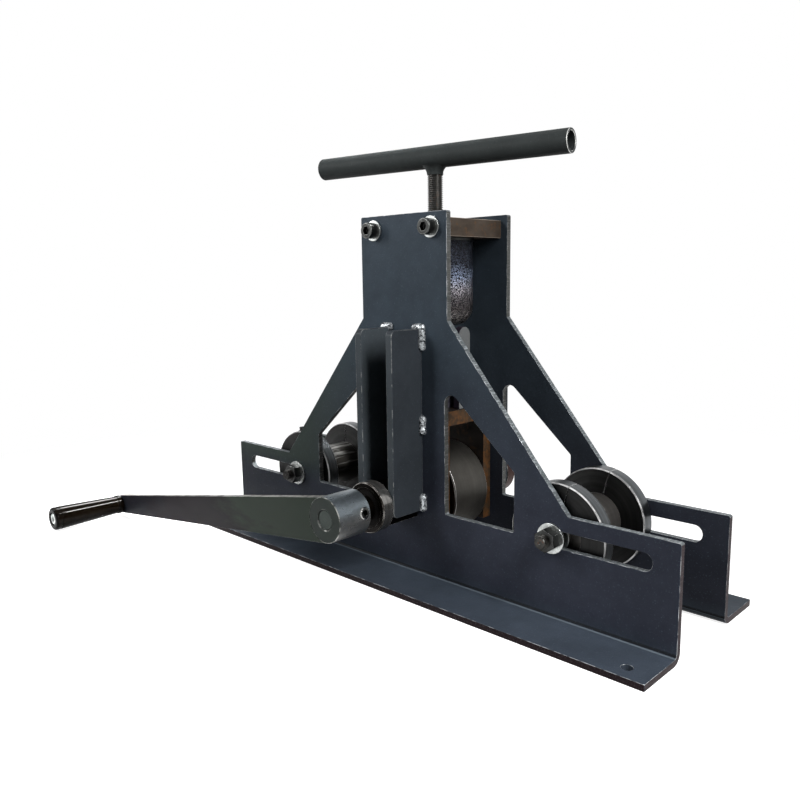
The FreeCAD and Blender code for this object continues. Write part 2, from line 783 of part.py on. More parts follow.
def grub_hole():
    return cylinder(grub_start(), grub_start() + grub_axis() * hub_diameter,
                    grub_diameter / 2 + fixed_clearance)


def grub_screw():
    length = hub_diameter / 2 + grub_proud - shaft_diameter / 2
    return place(set_screw(grub_diameter, length), grub_start(), grub_axis())


def crank_arm():
    """Tapered flat bar whose edges run tangent to the hub and to its round end."""
    y0 = hub_front
    y1 = hub_front + arm_thickness
    hub_radius = hub_diameter / 2
    end_radius = arm_end_width / 2
    direction = atan2(grip_z - shaft_height, grip_x)
    lean = asin((hub_radius - end_radius) / crank_radius)
    points = []
    for side in (1, -1):
        normal = direction + side * (pi / 2 - lean)
        points.append((vec(hub_radius * cos(normal), y0, shaft_height + hub_radius * sin(normal)),
                       vec(grip_x + end_radius * cos(normal), y0, grip_z + end_radius * sin(normal))))
    outline = Part.makePolygon([points[0][0], points[0][1], points[1][1], points[1][0], points[0][0]])
    bar = Part.Face(outline).extrude(vec(0, y1 - y0, 0))
    bar = bar.fuse(cylinder_y(grip_x, grip_z, y0, y1, end_radius)).removeSplitter()
    return bar.cut([cylinder_y(0, shaft_height, y0, y1, hub_radius),
                    cylinder_y(grip_x, grip_z, y0, y1, spindle_diameter / 2 + fixed_clearance)])


def crank_weld():
    """Bead round the hub behind the arm."""
    y = hub_front + arm_thickness
    radius = hub_diameter / 2
    spread = 2 * degrees(asin(0.6))
    start_angle = crank_drop_angle + 180 - spread / 2
    centre = vec(radius * cos(radians(start_angle)), y, shaft_height + radius * sin(radians(start_angle)))
    tangent = vec(-sin(radians(start_angle)), 0, cos(radians(start_angle)))
    circle = Part.Wire(Part.makeCircle(crank_weld_size, centre, tangent))
    bead = Part.Face(circle).revolve(vec(0, y, shaft_height), vec(0, -1, 0), spread)
    outside = bead.cut([cylinder_y(0, shaft_height, hub_front, hub_back, radius), crank_arm()])
    behind = box(-hub_diameter, hub_diameter, y, hub_back, shaft_height - hub_diameter,
                 shaft_height + hub_diameter)
    return outside.common(behind).Solids[0]


def handle_spindle():
    """Shoulder bolt: threaded into the arm, with the grip turning on it."""
    arm_back = hub_front + arm_thickness
    head_back = grip_end + grip_recess_depth - standoff
    head_front = head_back - spindle_head_thickness
    rod = cylinder_y(grip_x, grip_z, head_front, arm_back, spindle_diameter / 2)
    head = chamfered_cylinder_y(grip_x, grip_z, head_front, head_back, spindle_head_diameter / 2, 0.6)
    socket = place(hexagon(0.6 * spindle_diameter, spindle_socket_depth),
                   vec(grip_x, head_front, grip_z), vec(0, 1, 0))
    return rod.fuse(head).removeSplitter().cut(socket)


def grip():
    """Moulded handle: a collar at the root, a body that widens outwards, a groove and an end recess."""
    collar_radius = grip_collar_diameter / 2
    root_radius = grip_root_diameter / 2
    end_radius = grip_end_diameter / 2
    bore = spindle_diameter / 2 + running_clearance
    recess = grip_recess_diameter / 2
    floor = grip_length - grip_recess_depth
    groove = grip_length - grip_groove_from_end
    groove_radius = end_radius - grip_groove_depth
    corners = [(bore, 0, 0), (collar_radius, 0, 1.0),
               (collar_radius, grip_collar_length, 1.0), (root_radius, grip_collar_length, 0.5),
               (end_radius, groove - grip_groove_width, 0.4),
               (groove_radius, groove - grip_groove_width, 0),
               (groove_radius, groove, 0), (end_radius, groove, 0.4),
               (end_radius, grip_length, grip_end_radius), (recess, grip_length, 0.5),
               (recess, floor, 0), (bore, floor, 0)]
    face = rounded_face(corners, lambda u, v: vec(grip_x + u, grip_root - v, grip_z))
    return face.revolve(vec(grip_x, grip_root, grip_z), vec(0, 1, 0), 360)


# ---- Lower rollers: each turns on an axle that can be moved along its slots ----
def axle(x):
    half = axle_overall / 2
    shoulder = plate_outer + axle_washer_thickness / 2
    rod = chamfered_cylinder_y(x, axle_height, -half, half, axle_thread_diameter / 2, axle_chamfer)
    thick_part = cylinder_y(x, axle_height, -shoulder, shoulder, axle_diameter / 2)
    centre = axle_centre_diameter / 2
    cones = [Part.makeCone(centre, 0, centre, vec(x, end * half, axle_height), vec(0, -end, 0))
             for end in (-1, 1)]
    return rod.fuse(thick_part).removeSplitter().cut(cones)


def axle_hardware(x, nut_angle):
    """Nuts, outer washers, and the washers and spacers inside the plates."""
    nuts, washers, spacers = [], [], []
    bore = axle_diameter / 2 + bolt_clearance / 2
    for end in (-1, 1):
        washer_out = plate_outer + axle_washer_thickness
        nut = hex_nut(axle_nut_flats, axle_nut_thickness, axle_thread_diameter / 2 + fixed_clearance,
                      nut_angle)
        nuts.append(place(nut, vec(x, end * washer_out, axle_height), vec(0, end, 0)))
        outer = ring_y(x, axle_height, plate_outer, washer_out, bore, axle_washer_diameter / 2)
        inner_start = plate_inner - inner_washer_thickness
        inner = ring_y(x, axle_height, inner_start, plate_inner, bore, axle_washer_diameter / 2)
        spacer = ring_y(x, axle_height, drum_length / 2 + slide_clearance, inner_start, bore,
                        axle_spacer_diameter / 2)
        if end < 0:
            outer, inner, spacer = mirror_y(outer), mirror_y(inner), mirror_y(spacer)
        washers += [outer, inner]
        spacers.append(spacer)
    return nuts, washers, spacers


def roller_drum(x):
    half = drum_length / 2
    bush_radius = axle_diameter / 2 + running_clearance + bush_wall
    drum = chamfered_cylinder_y(x, axle_height, -half, half, drum_diameter / 2, 0.8)
    through = cylinder_y(x, axle_height, -half, half, axle_diameter / 2 + drum_relief)
    pockets = [cylinder_y(x, axle_height, end * half, end * (half - drum_bush_length),
                          bush_radius + fixed_clearance) for end in (-1, 1)]
    return drum.cut([through] + pockets)


def roller_bushes(x):
    half = drum_length / 2
    inner = axle_diameter / 2 + running_clearance
    front = ring_y(x, axle_height, -half, -half + drum_bush_length, inner, inner + bush_wall)
    return [front, mirror_y(front)]


def side_disc(x, end, slit_angle, screw_angle):
    """A split ring on the drum, held by a radial set screw. end is -1 at the front, 1 at the rear."""
    y0 = min(end * disc_inner, end * disc_outer)
    y1 = max(end * disc_inner, end * disc_outer)
    radius = disc_diameter / 2
    disc = chamfered_cylinder_y(x, axle_height, y0, y1, radius, 1.0)
    bore = cylinder_y(x, axle_height, y0, y1, drum_diameter / 2 + fixed_clearance)
    slit = box(0, disc_diameter, y0, y1, -disc_slit_width / 2, disc_slit_width / 2)
    slit.rotate(vec(0, 0, 0), vec(0, -1, 0), slit_angle)
    slit.translate(vec(x, 0, axle_height))
    hole = place(Part.makeCylinder(disc_screw_diameter / 2 + fixed_clearance, disc_diameter),
                 vec(x, (y0 + y1) / 2, axle_height), disc_screw_axis(screw_angle))
    return disc.cut([bore, slit, hole])


def disc_screw_axis(angle):
    return vec(cos(radians(angle)), 0, sin(radians(angle)))


def disc_screw(x, end, screw_angle):
    y = end * (disc_inner + disc_outer) / 2
    start = drum_diameter / 2 + slide_clearance
    length = disc_diameter / 2 + disc_screw_proud - start
    axis = disc_screw_axis(screw_angle)
    return place(set_screw(disc_screw_diameter, length), vec(x, y, axle_height) + axis * start, axis)


def lower_roller(name, x, nut_angle, slit_angle, screw_angles):
    nuts, washers, spacers = axle_hardware(x, nut_angle)
    save(name + "_axle", axle(x))
    save(name + "_axle_nuts", nuts)
    save(name + "_axle_washers", washers)
    save(name + "_axle_spacers", spacers)
    save(name + "_roller_drum", roller_drum(x))
    save(name + "_roller_bushes", roller_bushes(x))
    save(name + "_front_disc", side_disc(x, -1, slit_angle, screw_angles[0]))
    save(name + "_rear_disc", side_disc(x, 1, slit_angle, screw_angles[1]))
    save(name + "_disc_screws", [disc_screw(x, -1, screw_angles[0]), disc_screw(x, 1, screw_angles[1])])


# ---- Build every piece ----
os.makedirs("parts", exist_ok=True)

front_plate = side_plate()
save("front_side_plate", front_plate)
save("rear_side_plate", mirror_y(front_plate))
save("top_block", top_block())
top_screws, top_washers = top_fasteners()
save("top_cap_screws", top_screws)
save("top_washers", top_washers)
left_bar, right_bar = channel_bars()
front_welds = channel_welds(right_bar, front_plate)
save("front_channel_bars", [left_bar, right_bar])
save("rear_channel_bars", [mirror_y(left_bar), mirror_y(right_bar)])
save("channel_bar_welds", front_welds + [mirror_y(weld) for weld in front_welds])
save("dust_sleeve", dust_sleeve())
save("dust_sleeve_ring", dust_sleeve_ring())

save("yoke_top_plate", yoke_top_plate())
save("yoke_legs", [yoke_leg(), mirror_y(yoke_leg())])
save("yoke_uprights", [mirror_x(upright()), upright()])
save("yoke_welds", yoke_welds())
save("yoke_shaft_bushes", [shaft_bush(), mirror_y(shaft_bush())])
save("screw_retaining_cap", retaining_cap())
save("retaining_cap_screws", retaining_cap_screws())
save("thrust_lower_race", ring_z(thrust_floor, thrust_floor + thrust_race_thickness,
                                 thrust_bore / 2 + running_clearance, thrust_diameter / 2))
save("thrust_balls", thrust_balls())
save("front_slide_block", slide_block())
save("rear_slide_block", mirror_y(slide_block()))
outer_ring, inner_ring, balls, seals = bearing_pieces()
save("shaft_bearing_outer_rings", [outer_ring, mirror_y(outer_ring)])
save("shaft_bearing_inner_rings", [inner_ring, mirror_y(inner_ring)])
save("shaft_bearing_balls", balls + [mirror_y(ball) for ball in balls])
save("shaft_bearing_seals", seals + [mirror_y(seal) for seal in seals])

save("press_screw", press_screw())
save("thrust_upper_race", ring_z(upper_race_bottom, collar_bottom, thrust_bore / 2,
                                 thrust_diameter / 2 - running_clearance))
save("screw_collar_washer", ring_z(collar_top, collar_washer_top, screw_diameter / 2 + fixed_clearance,
                                   screw_collar_diameter / 2))
save("tee_handle_tube", tee_tube(tee_diameter / 2).cut(tee_tube(tee_diameter / 2 - tee_wall)))
save("tee_handle_weld", tee_weld())

save("drive_shaft", drive_shaft())
save("roller_key", roller_key())
save("centre_roller", centre_roller())
save("roller_thrust_washers", roller_thrust_washers())
save("rear_shaft_circlip", circlip())
save("shaft_spacer", shaft_spacer())
save("crank_hub", crank_hub())
save("crank_arm", crank_arm())
save("crank_weld", crank_weld())
save("hub_grub_screw", grub_screw())
save("handle_spindle", handle_spindle())
save("handle_grip", grip())

lower_roller("left", -axle_inner_position, left_nut_angle, left_slit_angle, (100.0, 250.0))
lower_roller("right", axle_inner_position, right_nut_angle, right_slit_angle, (230.0, 300.0))
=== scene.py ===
import json
from math import cos, pi, radians, sin

import bmesh
import bpy
from mathutils import Matrix, Vector, noise


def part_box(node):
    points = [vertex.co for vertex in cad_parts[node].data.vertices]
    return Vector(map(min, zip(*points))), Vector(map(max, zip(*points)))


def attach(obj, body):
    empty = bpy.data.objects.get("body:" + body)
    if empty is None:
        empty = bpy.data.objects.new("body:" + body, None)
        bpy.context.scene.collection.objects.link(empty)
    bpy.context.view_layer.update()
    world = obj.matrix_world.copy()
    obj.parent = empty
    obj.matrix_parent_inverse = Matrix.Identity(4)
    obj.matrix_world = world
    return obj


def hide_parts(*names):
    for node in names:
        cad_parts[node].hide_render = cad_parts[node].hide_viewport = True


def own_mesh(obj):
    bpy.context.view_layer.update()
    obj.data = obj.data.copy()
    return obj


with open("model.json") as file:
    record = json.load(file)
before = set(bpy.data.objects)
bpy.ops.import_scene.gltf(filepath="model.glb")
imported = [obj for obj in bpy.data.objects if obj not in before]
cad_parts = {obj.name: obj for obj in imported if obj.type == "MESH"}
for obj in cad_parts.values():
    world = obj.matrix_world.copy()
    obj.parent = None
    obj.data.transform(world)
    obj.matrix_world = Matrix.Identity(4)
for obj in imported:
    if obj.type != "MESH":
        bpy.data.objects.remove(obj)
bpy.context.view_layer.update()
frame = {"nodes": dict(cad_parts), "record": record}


# ---- Side plates ----
# Two folded sheets of 6 mm steel, laser-cut with tower, struts, windows and slots, then bent
# outwards at the foot. The dark blue-grey powder coat is thin on the cuts and worn at the corners.
bodies = frame["record"]["behaviour"]["bodies"]
body_of = {node: body for body, nodes in bodies.items() for node in nodes}
sharp_edge = radians(32)
flat_enough = radians(0.4)


def new_piece(name, shell, materials, body, nodes):
    """A new object from a bmesh, which rides on a body and stands for the CAD nodes."""
    mesh = bpy.data.meshes.new(name)
    shell.to_mesh(mesh)
    shell.free()
    mesh.shade_smooth()
    mesh.set_sharp_from_angle(angle=sharp_edge)
    for material in materials:
        mesh.materials.append(material)
    piece = bpy.data.objects.new(name, mesh)
    bpy.context.scene.collection.objects.link(piece)
    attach(piece, body)
    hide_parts(*nodes)
    return piece


def joined_copy(node):
    """A CAD node's surface with its loose triangles joined and its flat faces made whole."""
    shell = bmesh.new()
    shell.from_mesh(frame["nodes"][node].data)
    bmesh.ops.remove_doubles(shell, verts=shell.verts, dist=0.000002)
    bmesh.ops.dissolve_limit(shell, angle_limit=flat_enough, verts=shell.verts, edges=shell.edges)
    shell.normal_update()
    return shell


def finished(node, *materials, edge=0.0003, choose=None, rub=None):
    """A CAD node with its edges broken. choose(face) picks a face's material; rub is for edges."""
    shell = joined_copy(node)
    if choose:
        for face in shell.faces:
            face.material_index = choose(face)
    materials = list(materials)
    if rub:
        materials.append(rub)
    piece = new_piece("finished_" + node, shell, materials, body_of[node], [node])
    if edge:
        bevel = piece.modifiers.new("broken edges", "BEVEL")
        bevel.width = edge
        bevel.segments = 2
        bevel.limit_method = "ANGLE"
        bevel.angle_limit = sharp_edge
        bevel.harden_normals = True
        bevel.use_clamp_overlap = True
        if rub:
            bevel.material = len(materials) - 1
    return piece


def new_material(name):
    """A new material, and the sockets of its surface."""
    material = bpy.data.materials.new(name)
    material.use_nodes = True
    return material, material.node_tree.nodes["Principled BSDF"].inputs


def add_node(material, kind, **settings):
    node = material.node_tree.nodes.new(kind)
    for key, value in settings.items():
        setattr(node, key, value)
    return node


def join(material, output, node_input):
    material.node_tree.links.new(output, node_input)


def object_place(material, centre=(0, 0, 0), stretch=(1, 1, 1)):
    """Object coordinates, centred on a point and stretched."""
    coordinates = add_node(material, "ShaderNodeTexCoord")
    mapping = add_node(material, "ShaderNodeMapping")
    mapping.inputs["Location"].default_value = [-c * s for c, s in zip(centre, stretch)]
    mapping.inputs["Scale"].default_value = stretch
    join(material, coordinates.outputs["Object"], mapping.inputs["Vector"])
    return mapping.outputs["Vector"]


def one_axis(material, place, axis):
    """A place's X, Y or Z alone."""
    split = add_node(material, "ShaderNodeSeparateXYZ")
    join(material, place, split.inputs[0])
    return split.outputs[axis]


def share_between(material, value, start, end, most=1.0):
    """0 up to start, rising evenly to most at end."""
    share = add_node(material, "ShaderNodeMapRange")
    share.inputs["From Min"].default_value = start
    share.inputs["From Max"].default_value = end
    share.inputs["To Max"].default_value = most
    join(material, value, share.inputs["Value"])
    return share.outputs["Result"]


def calculate(material, operation, *values):
    """Arithmetic on links and plain numbers."""
    node = add_node(material, "ShaderNodeMath", operation=operation)
    for value, socket in zip(values, node.inputs):
        if isinstance(value, float):
            socket.default_value = value
        else:
            join(material, value, socket)
    return node.outputs[0]


def add_noise(material, place, scale, detail=3.0, roughness=0.55):
    texture = add_node(material, "ShaderNodeTexNoise")
    texture.inputs["Scale"].default_value = scale
    texture.inputs["Detail"].default_value = detail
    texture.inputs["Roughness"].default_value = roughness
    join(material, place, texture.inputs["Vector"])
    return texture.outputs["Fac"]


def add_ramp(material, factor, stops):
    """A colour ramp from (position, colour) stops; a plain number is a grey."""
    ramp = add_node(material, "ShaderNodeValToRGB")
    while len(ramp.color_ramp.elements) < len(stops):
        ramp.color_ramp.elements.new(0.5)
    for element, (position, colour) in zip(ramp.color_ramp.elements, stops):
        element.position = position
        if isinstance(colour, (int, float)):
            colour = (colour, colour, colour)
        element.color = (*colour, 1)
    join(material, factor, ramp.inputs["Fac"])
    return ramp.outputs["Color"]


def mix_colours(material, factor, first, second):
    """The first colour where the factor is 0, and the second where it is 1."""
    mix = add_node(material, "ShaderNodeMix", data_type="RGBA")
    join(material, factor, mix.inputs["Factor"])
    for value, socket in ((first, mix.inputs["A"]), (second, mix.inputs["B"])):
        if isinstance(value, tuple):
            socket.default_value = (*value, 1)
        else:
            join(material, value, socket)
    return mix.outputs["Result"]


def add_bump(material, height, distance, strength=1.0, below=None):
    bump = add_node(material, "ShaderNodeBump")
    bump.inputs["Distance"].default_value = distance
    bump.inputs["Strength"].default_value = strength
    join(material, height, bump.inputs["Height"])
    if below:
        join(material, below, bump.inputs["Normal"])
    return bump.outputs["Normal"]


def shades(colour, low, high):
    """The same hue, darker and lighter, as the two ends of a ramp."""
    return tuple(c * low for c in colour), tuple(c * high for c in colour)


plate_low, plate_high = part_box("front_side_plate")
sheet = 0.006
foot_fade = 0.25
bend_from, bend_to = 0.0055, 0.0115
foot_dirt_and_shade = (0.009, 0.011, 0.015)
left_green = (0.044, 0.059, 0.050)
bend_shade = (0.006, 0.007, 0.009)
bend_highlight = (0.110, 0.135, 0.155)


def with_foot(material, place, coat, foot):
    """A coat with a darker tone on the foot, fading up the tower: partly painted shade.
    Towards the left end the foot darkens further with dirt and painted shade.

    Above the foot it turns greener to the left. Along the bend runs a pale painted highlight line
    over a dark line of painted shade in the crease.
    """
    along = share_between(material, one_axis(material, place, "X"), -plate_high.x, plate_high.x)
    dirt_and_shade = add_ramp(material, along, [(0.05, 0.65), (0.40, 0.20), (0.60, 0.0)])
    foot = mix_colours(material, dirt_and_shade, foot, foot_dirt_and_shade)
    height = one_axis(material, place, "Z")
    level = share_between(material, height, 0.0, foot_fade)
    upper = add_ramp(material, level, [(0.026, 0.6), (0.08, 0.0), (0.38, 0.0), (0.95, 1.0)])
    tone = mix_colours(material, upper, foot, coat)
    leftward = add_ramp(material, along, [(0.22, 0.8), (0.42, 0.0)])
    above_foot = add_ramp(material, level, [(0.28, 0.0), (0.40, 1.0)])
    green = calculate(material, "MULTIPLY", leftward, above_foot)
    tone = mix_colours(material, green, tone, left_green)
    # Painted shade in the crease of the bend, and a pale painted highlight line just below it.
    bend = share_between(material, height, bend_from, bend_to)
    corner = add_ramp(material, bend, [(0.22, 1.0), (0.25, 0.0), (0.50, 0.1), (0.70, 1.0)])
    tone = mix_colours(material, corner, bend_shade, tone)
    bend_highlight_line = add_ramp(material, bend, [(0.095, 0.0), (0.11, 0.8), (0.18, 0.8), (0.21, 0.0)])
    return mix_colours(material, bend_highlight_line, tone, bend_highlight)


def painted(name, colour, roughness, peel=0.00005, specular=0.05, cloud=0.20, foot_colour=None):
    """Powder coat on steel: cloudy in tone, with orange peel and fine pale scuffs."""
    material, surface = new_material(name)
    place = object_place(material)
    clouds = add_noise(material, place, 14.0, 9.0, 0.68)

    def cloudy(tone):
        dark, light = shades(tone, 1 - cloud, 1 + cloud)
        return add_ramp(material, clouds, [(0.32, dark), (0.68, light)])

    tone = cloudy(colour)
    if foot_colour:
        tone = with_foot(material, place, tone, cloudy(foot_colour))
    specks = add_noise(material, place, 640.0, 2.0, 0.6)
    scuffs = add_ramp(material, specks, [(0.62, 0.0), (0.74, 0.40)])
    pale = shades(colour, 1.0, 2.2)[1]
    join(material, mix_colours(material, scuffs, tone, pale), surface["Base Color"])
    smears = add_noise(material, object_place(material, stretch=(1.0, 1.0, 0.35)), 38.0, 4.0)
    low, high = roughness
    join(material, add_ramp(material, smears, [(0.3, low), (0.72, high)]), surface["Roughness"])
    grain = add_noise(material, place, 520.0, 2.0)
    waves = add_noise(material, place, 130.0, 2.0)
    fine = add_bump(material, grain, peel, 0.8)
    join(material, add_bump(material, waves, peel * 2.5, 0.5, below=fine), surface["Normal"])
    surface["Specular IOR Level"].default_value = specular
    return material


def rubbed(name, coat, bare, bare_from=0.50):
    """A coated corner, worn through in patches to the steel. More is bare as bare_from falls."""
    material, surface = new_material(name)
    wear = add_noise(material, object_place(material), 95.0, 5.0, 0.65)
    patches = add_ramp(material, wear, [(bare_from - 0.05, 0.0), (bare_from + 0.07, 1.0)])
    join(material, mix_colours(material, patches, coat, bare), surface["Base Color"])
    join(material, add_ramp(material, patches, [(0.0, 0.0), (1.0, 0.7)]), surface["Metallic"])
    join(material, add_ramp(material, wear, [(0.3, 0.45), (0.7, 0.30)]), surface["Roughness"])
    surface["Specular IOR Level"].default_value = 0.1
    return material


def cut_edge(name, colour, bright, metallic=0.3):
    """The face that a laser leaves: fine ridges through the sheet, with bright specks as painted
    glints.
    """
    material, surface = new_material(name)
    ridges = add_noise(material, object_place(material, stretch=(1.0, 0.15, 1.0)), 560.0, 3.0, 0.7)
    patches = add_noise(material, object_place(material), 60.0, 4.0)
    tone = add_ramp(material, patches, [(0.3, shades(colour, 0.65, 1.0)[0]), (0.7, colour)])
    # Painted glints: bright specks of colour on the ridges.
    specks = add_ramp(material, ridges, [(0.50, 0.0), (0.66, 1.0)])
    join(material, mix_colours(material, specks, tone, bright), surface["Base Color"])
    join(material, add_bump(material, ridges, 0.00004, 0.7), surface["Normal"])
    surface["Metallic"].default_value = metallic
    surface["Roughness"].default_value = 0.42
    surface["Specular IOR Level"].default_value = 0.05
    return material


end_margin = 0.001
rim_margin = 0.0005


def plate_face(face):
    """0 coated sheet, 1 cut outline, 2 ends and rim of the base, 3 cuts facing up: painted light.
    """
    middle = face.calc_center_median()
    if abs(face.normal.x) > 0.99 and abs(middle.x) > plate_high.x - end_margin:
        return 2
    through = abs(face.normal.y) < 0.1 and abs(middle.y) < abs(plate_high.y) + sheet
    if through and middle.z > sheet * 2:
        return 3 if face.normal.z > 0.3 else 1
    return 2 if abs(middle.y) > abs(plate_low.y) - rim_margin else 0


# foot_colour is darker than the coat: partly a more purple coat, partly painted shade on the foot.
frame_paint = painted("blue_grey_powder_coat", (0.043, 0.057, 0.073), (0.34, 0.46), peel=0.00009,
                      foot_colour=(0.039, 0.044, 0.062))
# A darker copy of the coat for the rear plate, far darker on its foot: painted shade.
shaded_rear_paint = painted("shaded_copy_powder_coat", (0.040, 0.053, 0.067), (0.34, 0.46), peel=0.00009,
                     foot_colour=(0.025, 0.028, 0.038))
sheet_edge = cut_edge("laser_cut_edge", (0.090, 0.092, 0.089), (0.150, 0.152, 0.148))
sheared_edge = cut_edge("sheared_edge", (0.024, 0.015, 0.018), (0.050, 0.038, 0.040), metallic=0.0)
# A paler cut face for the cuts that face up: painted light from above.
lit_upper_edge = cut_edge("lit_upper_cut_edge", (0.135, 0.152, 0.160), (0.34, 0.37, 0.39))
rubbed_paint = rubbed("rubbed_corners", (0.060, 0.070, 0.082), (0.42, 0.44, 0.46))
for plate, coat in (("front_side_plate", frame_paint), ("rear_side_plate", shaded_rear_paint)):
    finished(plate, coat, sheet_edge, sheared_edge, lit_upper_edge, edge=0.0005, choose=plate_face,
             rub=rubbed_paint)


# ---- Top block ----
# A sawn piece of flat steel bar, drilled and tapped through its middle for the press screw.
# It is left bare, so that it has a brown skin of mill scale with a little rust.
def bare_bar(name, dark, light, rust, rusty=0.6):
    """Hot-rolled bar: a cloudy skin of scale with rust spots, which cover more as rusty falls."""
    material, surface = new_material(name)
    place = object_place(material)
    along_bar = object_place(material, stretch=(0.5, 1.0, 1.6))
    skin_noise = add_noise(material, along_bar, 46.0, 6.0, 0.6)
    skin = add_ramp(material, skin_noise, [(0.32, dark), (0.68, light)])
    spot_noise = add_noise(material, place, 120.0, 5.0, 0.65)
    spots = add_ramp(material, spot_noise, [(rusty - 0.06, 0.0), (rusty + 0.08, 1.0)])
    join(material, mix_colours(material, spots, skin, rust), surface["Base Color"])
    wear = add_noise(material, place, 70.0, 4.0)
    join(material, add_ramp(material, wear, [(0.3, 0.42), (0.7, 0.62)]), surface["Roughness"])
    join(material, add_ramp(material, wear, [(0.35, 0.6), (0.7, 0.3)]), surface["Metallic"])
    join(material, add_bump(material, skin_noise, 0.00012, 0.6), surface["Normal"])
    surface["Specular IOR Level"].default_value = 0.15
    return material


block_steel = bare_bar("bare_brown_steel", (0.043, 0.032, 0.024), (0.076, 0.058, 0.044),
                       (0.100, 0.052, 0.024))
rubbed_steel = bare_bar("rubbed_brown_steel", (0.20, 0.165, 0.135), (0.32, 0.27, 0.22),
                        (0.18, 0.11, 0.06))
finished("top_block", block_steel, edge=0.0006, rub=rubbed_steel)


# ---- Screws and washers of the top block ----
# Four M10 socket cap screws of blackened steel, each over a bright zinc-plated washer, hold the
# block between the plates. The turned heads have a broad chamfer and a hexagon socket.
def plain_metal(name, colour, roughness, mottle=0.25, metallic=1.0):
    """Plated or blackened metal with faint stains and scratches."""
    material, surface = new_material(name)
    stains = add_noise(material, object_place(material), 160.0, 5.0)
    shade = shades(colour, 1 - mottle, 1.0)[0]
    tone = add_ramp(material, stains, [(0.35, shade), (0.62, colour)])
    join(material, tone, surface["Base Color"])
    low, high = roughness
    join(material, add_ramp(material, stains, [(0.3, high), (0.7, low)]), surface["Roughness"])
    scratches = add_noise(material, object_place(material, stretch=(1.0, 6.0, 1.0)), 700.0, 2.0)
    join(material, add_bump(material, scratches, 0.00001, 0.6), surface["Normal"])
    surface["Metallic"].default_value = metallic
    surface["Specular IOR Level"].default_value = 0.05
    return material


black_oxide = plain_metal("black_oxide_steel", (0.042, 0.043, 0.042), (0.28, 0.42), mottle=0.4)
black_rub = plain_metal("rubbed_black_oxide", (0.130, 0.135, 0.130), (0.24, 0.36))
zinc = plain_metal("bright_zinc_plate", (0.50, 0.52, 0.51), (0.22, 0.36), mottle=0.4)
finished("top_cap_screws", black_oxide, rub=black_rub)
finished("top_washers", zinc)


# ---- Channel bars ----
# Two flat bars stand on edge on each plate, and the slide block runs between them. Their free
# corners are rounded. Their free edges and the faces that the block runs on take a lighter coat,
# which is painted light.
bar_paint = painted("channel_bar_coat", (0.029, 0.034, 0.040), (0.34, 0.46))
bar_rub = rubbed("rubbed_bar_corners", (0.045, 0.052, 0.060), (0.20, 0.21, 0.21), 0.52)
# A lighter coat for the free edges and the inner faces: painted light.
lit_bar_faces = painted("painted_light_bar_faces", (0.056, 0.066, 0.074), (0.30, 0.42))


def lit_bar_face(face):
    """1, painted light, on the bars' free edges and the faces the slide block runs on, 0 elsewhere.
    """
    inward = face.normal.x * face.calc_center_median().x < -0.01
    return 1 if inward or abs(face.normal.y) > 0.9 else 0


for bars in ("front_channel_bars", "rear_channel_bars"):
    finished(bars, bar_paint, lit_bar_faces, edge=0.0006, rub=bar_rub, choose=lit_bar_face)


# ---- Welds of the channel bars ----
# Short stitches down the outer foot of each bar, with a lap over its top end. Each is a row of
# overlapping puddles under a thin glossy coat, so that it is lumpy and catches the light.
bar_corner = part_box("front_channel_bars")[1]
weld_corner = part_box("channel_bar_welds")[1]
plate_front = abs(bar_corner.y)
bar_thickness = 0.008
weld_radius = (weld_corner.x - bar_corner.x) * 0.84
lap_radius = weld_radius * 0.9
puddle_pitch = 0.003
puddle_wander = 0.14
puddle_unevenness = 0.16
wander_seed = 5
weld_proud = 0.0006
plate_clear = 0.0004
stitch_heights = (0.082, 0.163)
stitch_reach = 0.0055
top_weld_drop = 0.0185
skin_grid = 0.0007


def weld_coat():
    material, surface = new_material("glossy_coat_over_welds")
    spatter = add_noise(material, object_place(material), 360.0, 4.0, 0.7)
    tone = add_ramp(material, spatter, [(0.44, (0.018, 0.023, 0.028)), (0.56, (0.52, 0.55, 0.57))])
    join(material, tone, surface["Base Color"])
    join(material, add_ramp(material, spatter, [(0.45, 0.2), (0.7, 0.9)]), surface["Metallic"])
    join(material, add_bump(material, spatter, 0.0005, 0.8), surface["Normal"])
    surface["Roughness"].default_value = 0.14
    return material


def weld_run(shell, start, end, radius, seed):
    """A row of balls from start to end, each a little off the last in size and place."""
    count = max(2, int((end - start).length / puddle_pitch) + 1)
    for i in range(count):
        along = start.lerp(end, i / (count - 1))
        shift = noise.noise_vector(along * 900 + Vector((seed, 0, 0))) * radius * puddle_wander
        swell = noise.noise(along * 1300 + Vector((0, seed, 0))) * puddle_unevenness
        size = radius * (0.9 + swell)
        spot = Matrix.Translation(along + shift)
        bmesh.ops.create_icosphere(shell, subdivisions=2, radius=size, matrix=spot)


noise.seed_set(wander_seed)
stitches = bmesh.new()
for face in (-1, 1):
    for side in (-1, 1):
        x = side * (bar_corner.x + weld_proud)
        y = face * (plate_front + plate_clear)
        top = bar_corner.z + weld_proud
        for height in stitch_heights:
            weld_run(stitches, Vector((x, y, height - stitch_reach)),
                     Vector((x, y, height + stitch_reach)), weld_radius, side + 3 * face)
        weld_run(stitches, Vector((x, y, top - top_weld_drop)), Vector((x, y, top)), weld_radius,
                 side)
        weld_run(stitches, Vector((x, y, top)), Vector((x - side * bar_thickness, y, top)),
                 lap_radius, 7 * side + face)
stitch_piece = new_piece("channel_bar_stitches", stitches, [weld_coat()], "frame",
                         ["channel_bar_welds"])
melt = stitch_piece.modifiers.new("melt", "REMESH")
melt.mode = "VOXEL"
melt.voxel_size = skin_grid
melt.use_smooth_shade = True
soften = stitch_piece.modifiers.new("soften", "SMOOTH")
soften.factor = 0.5
soften.iterations = 2


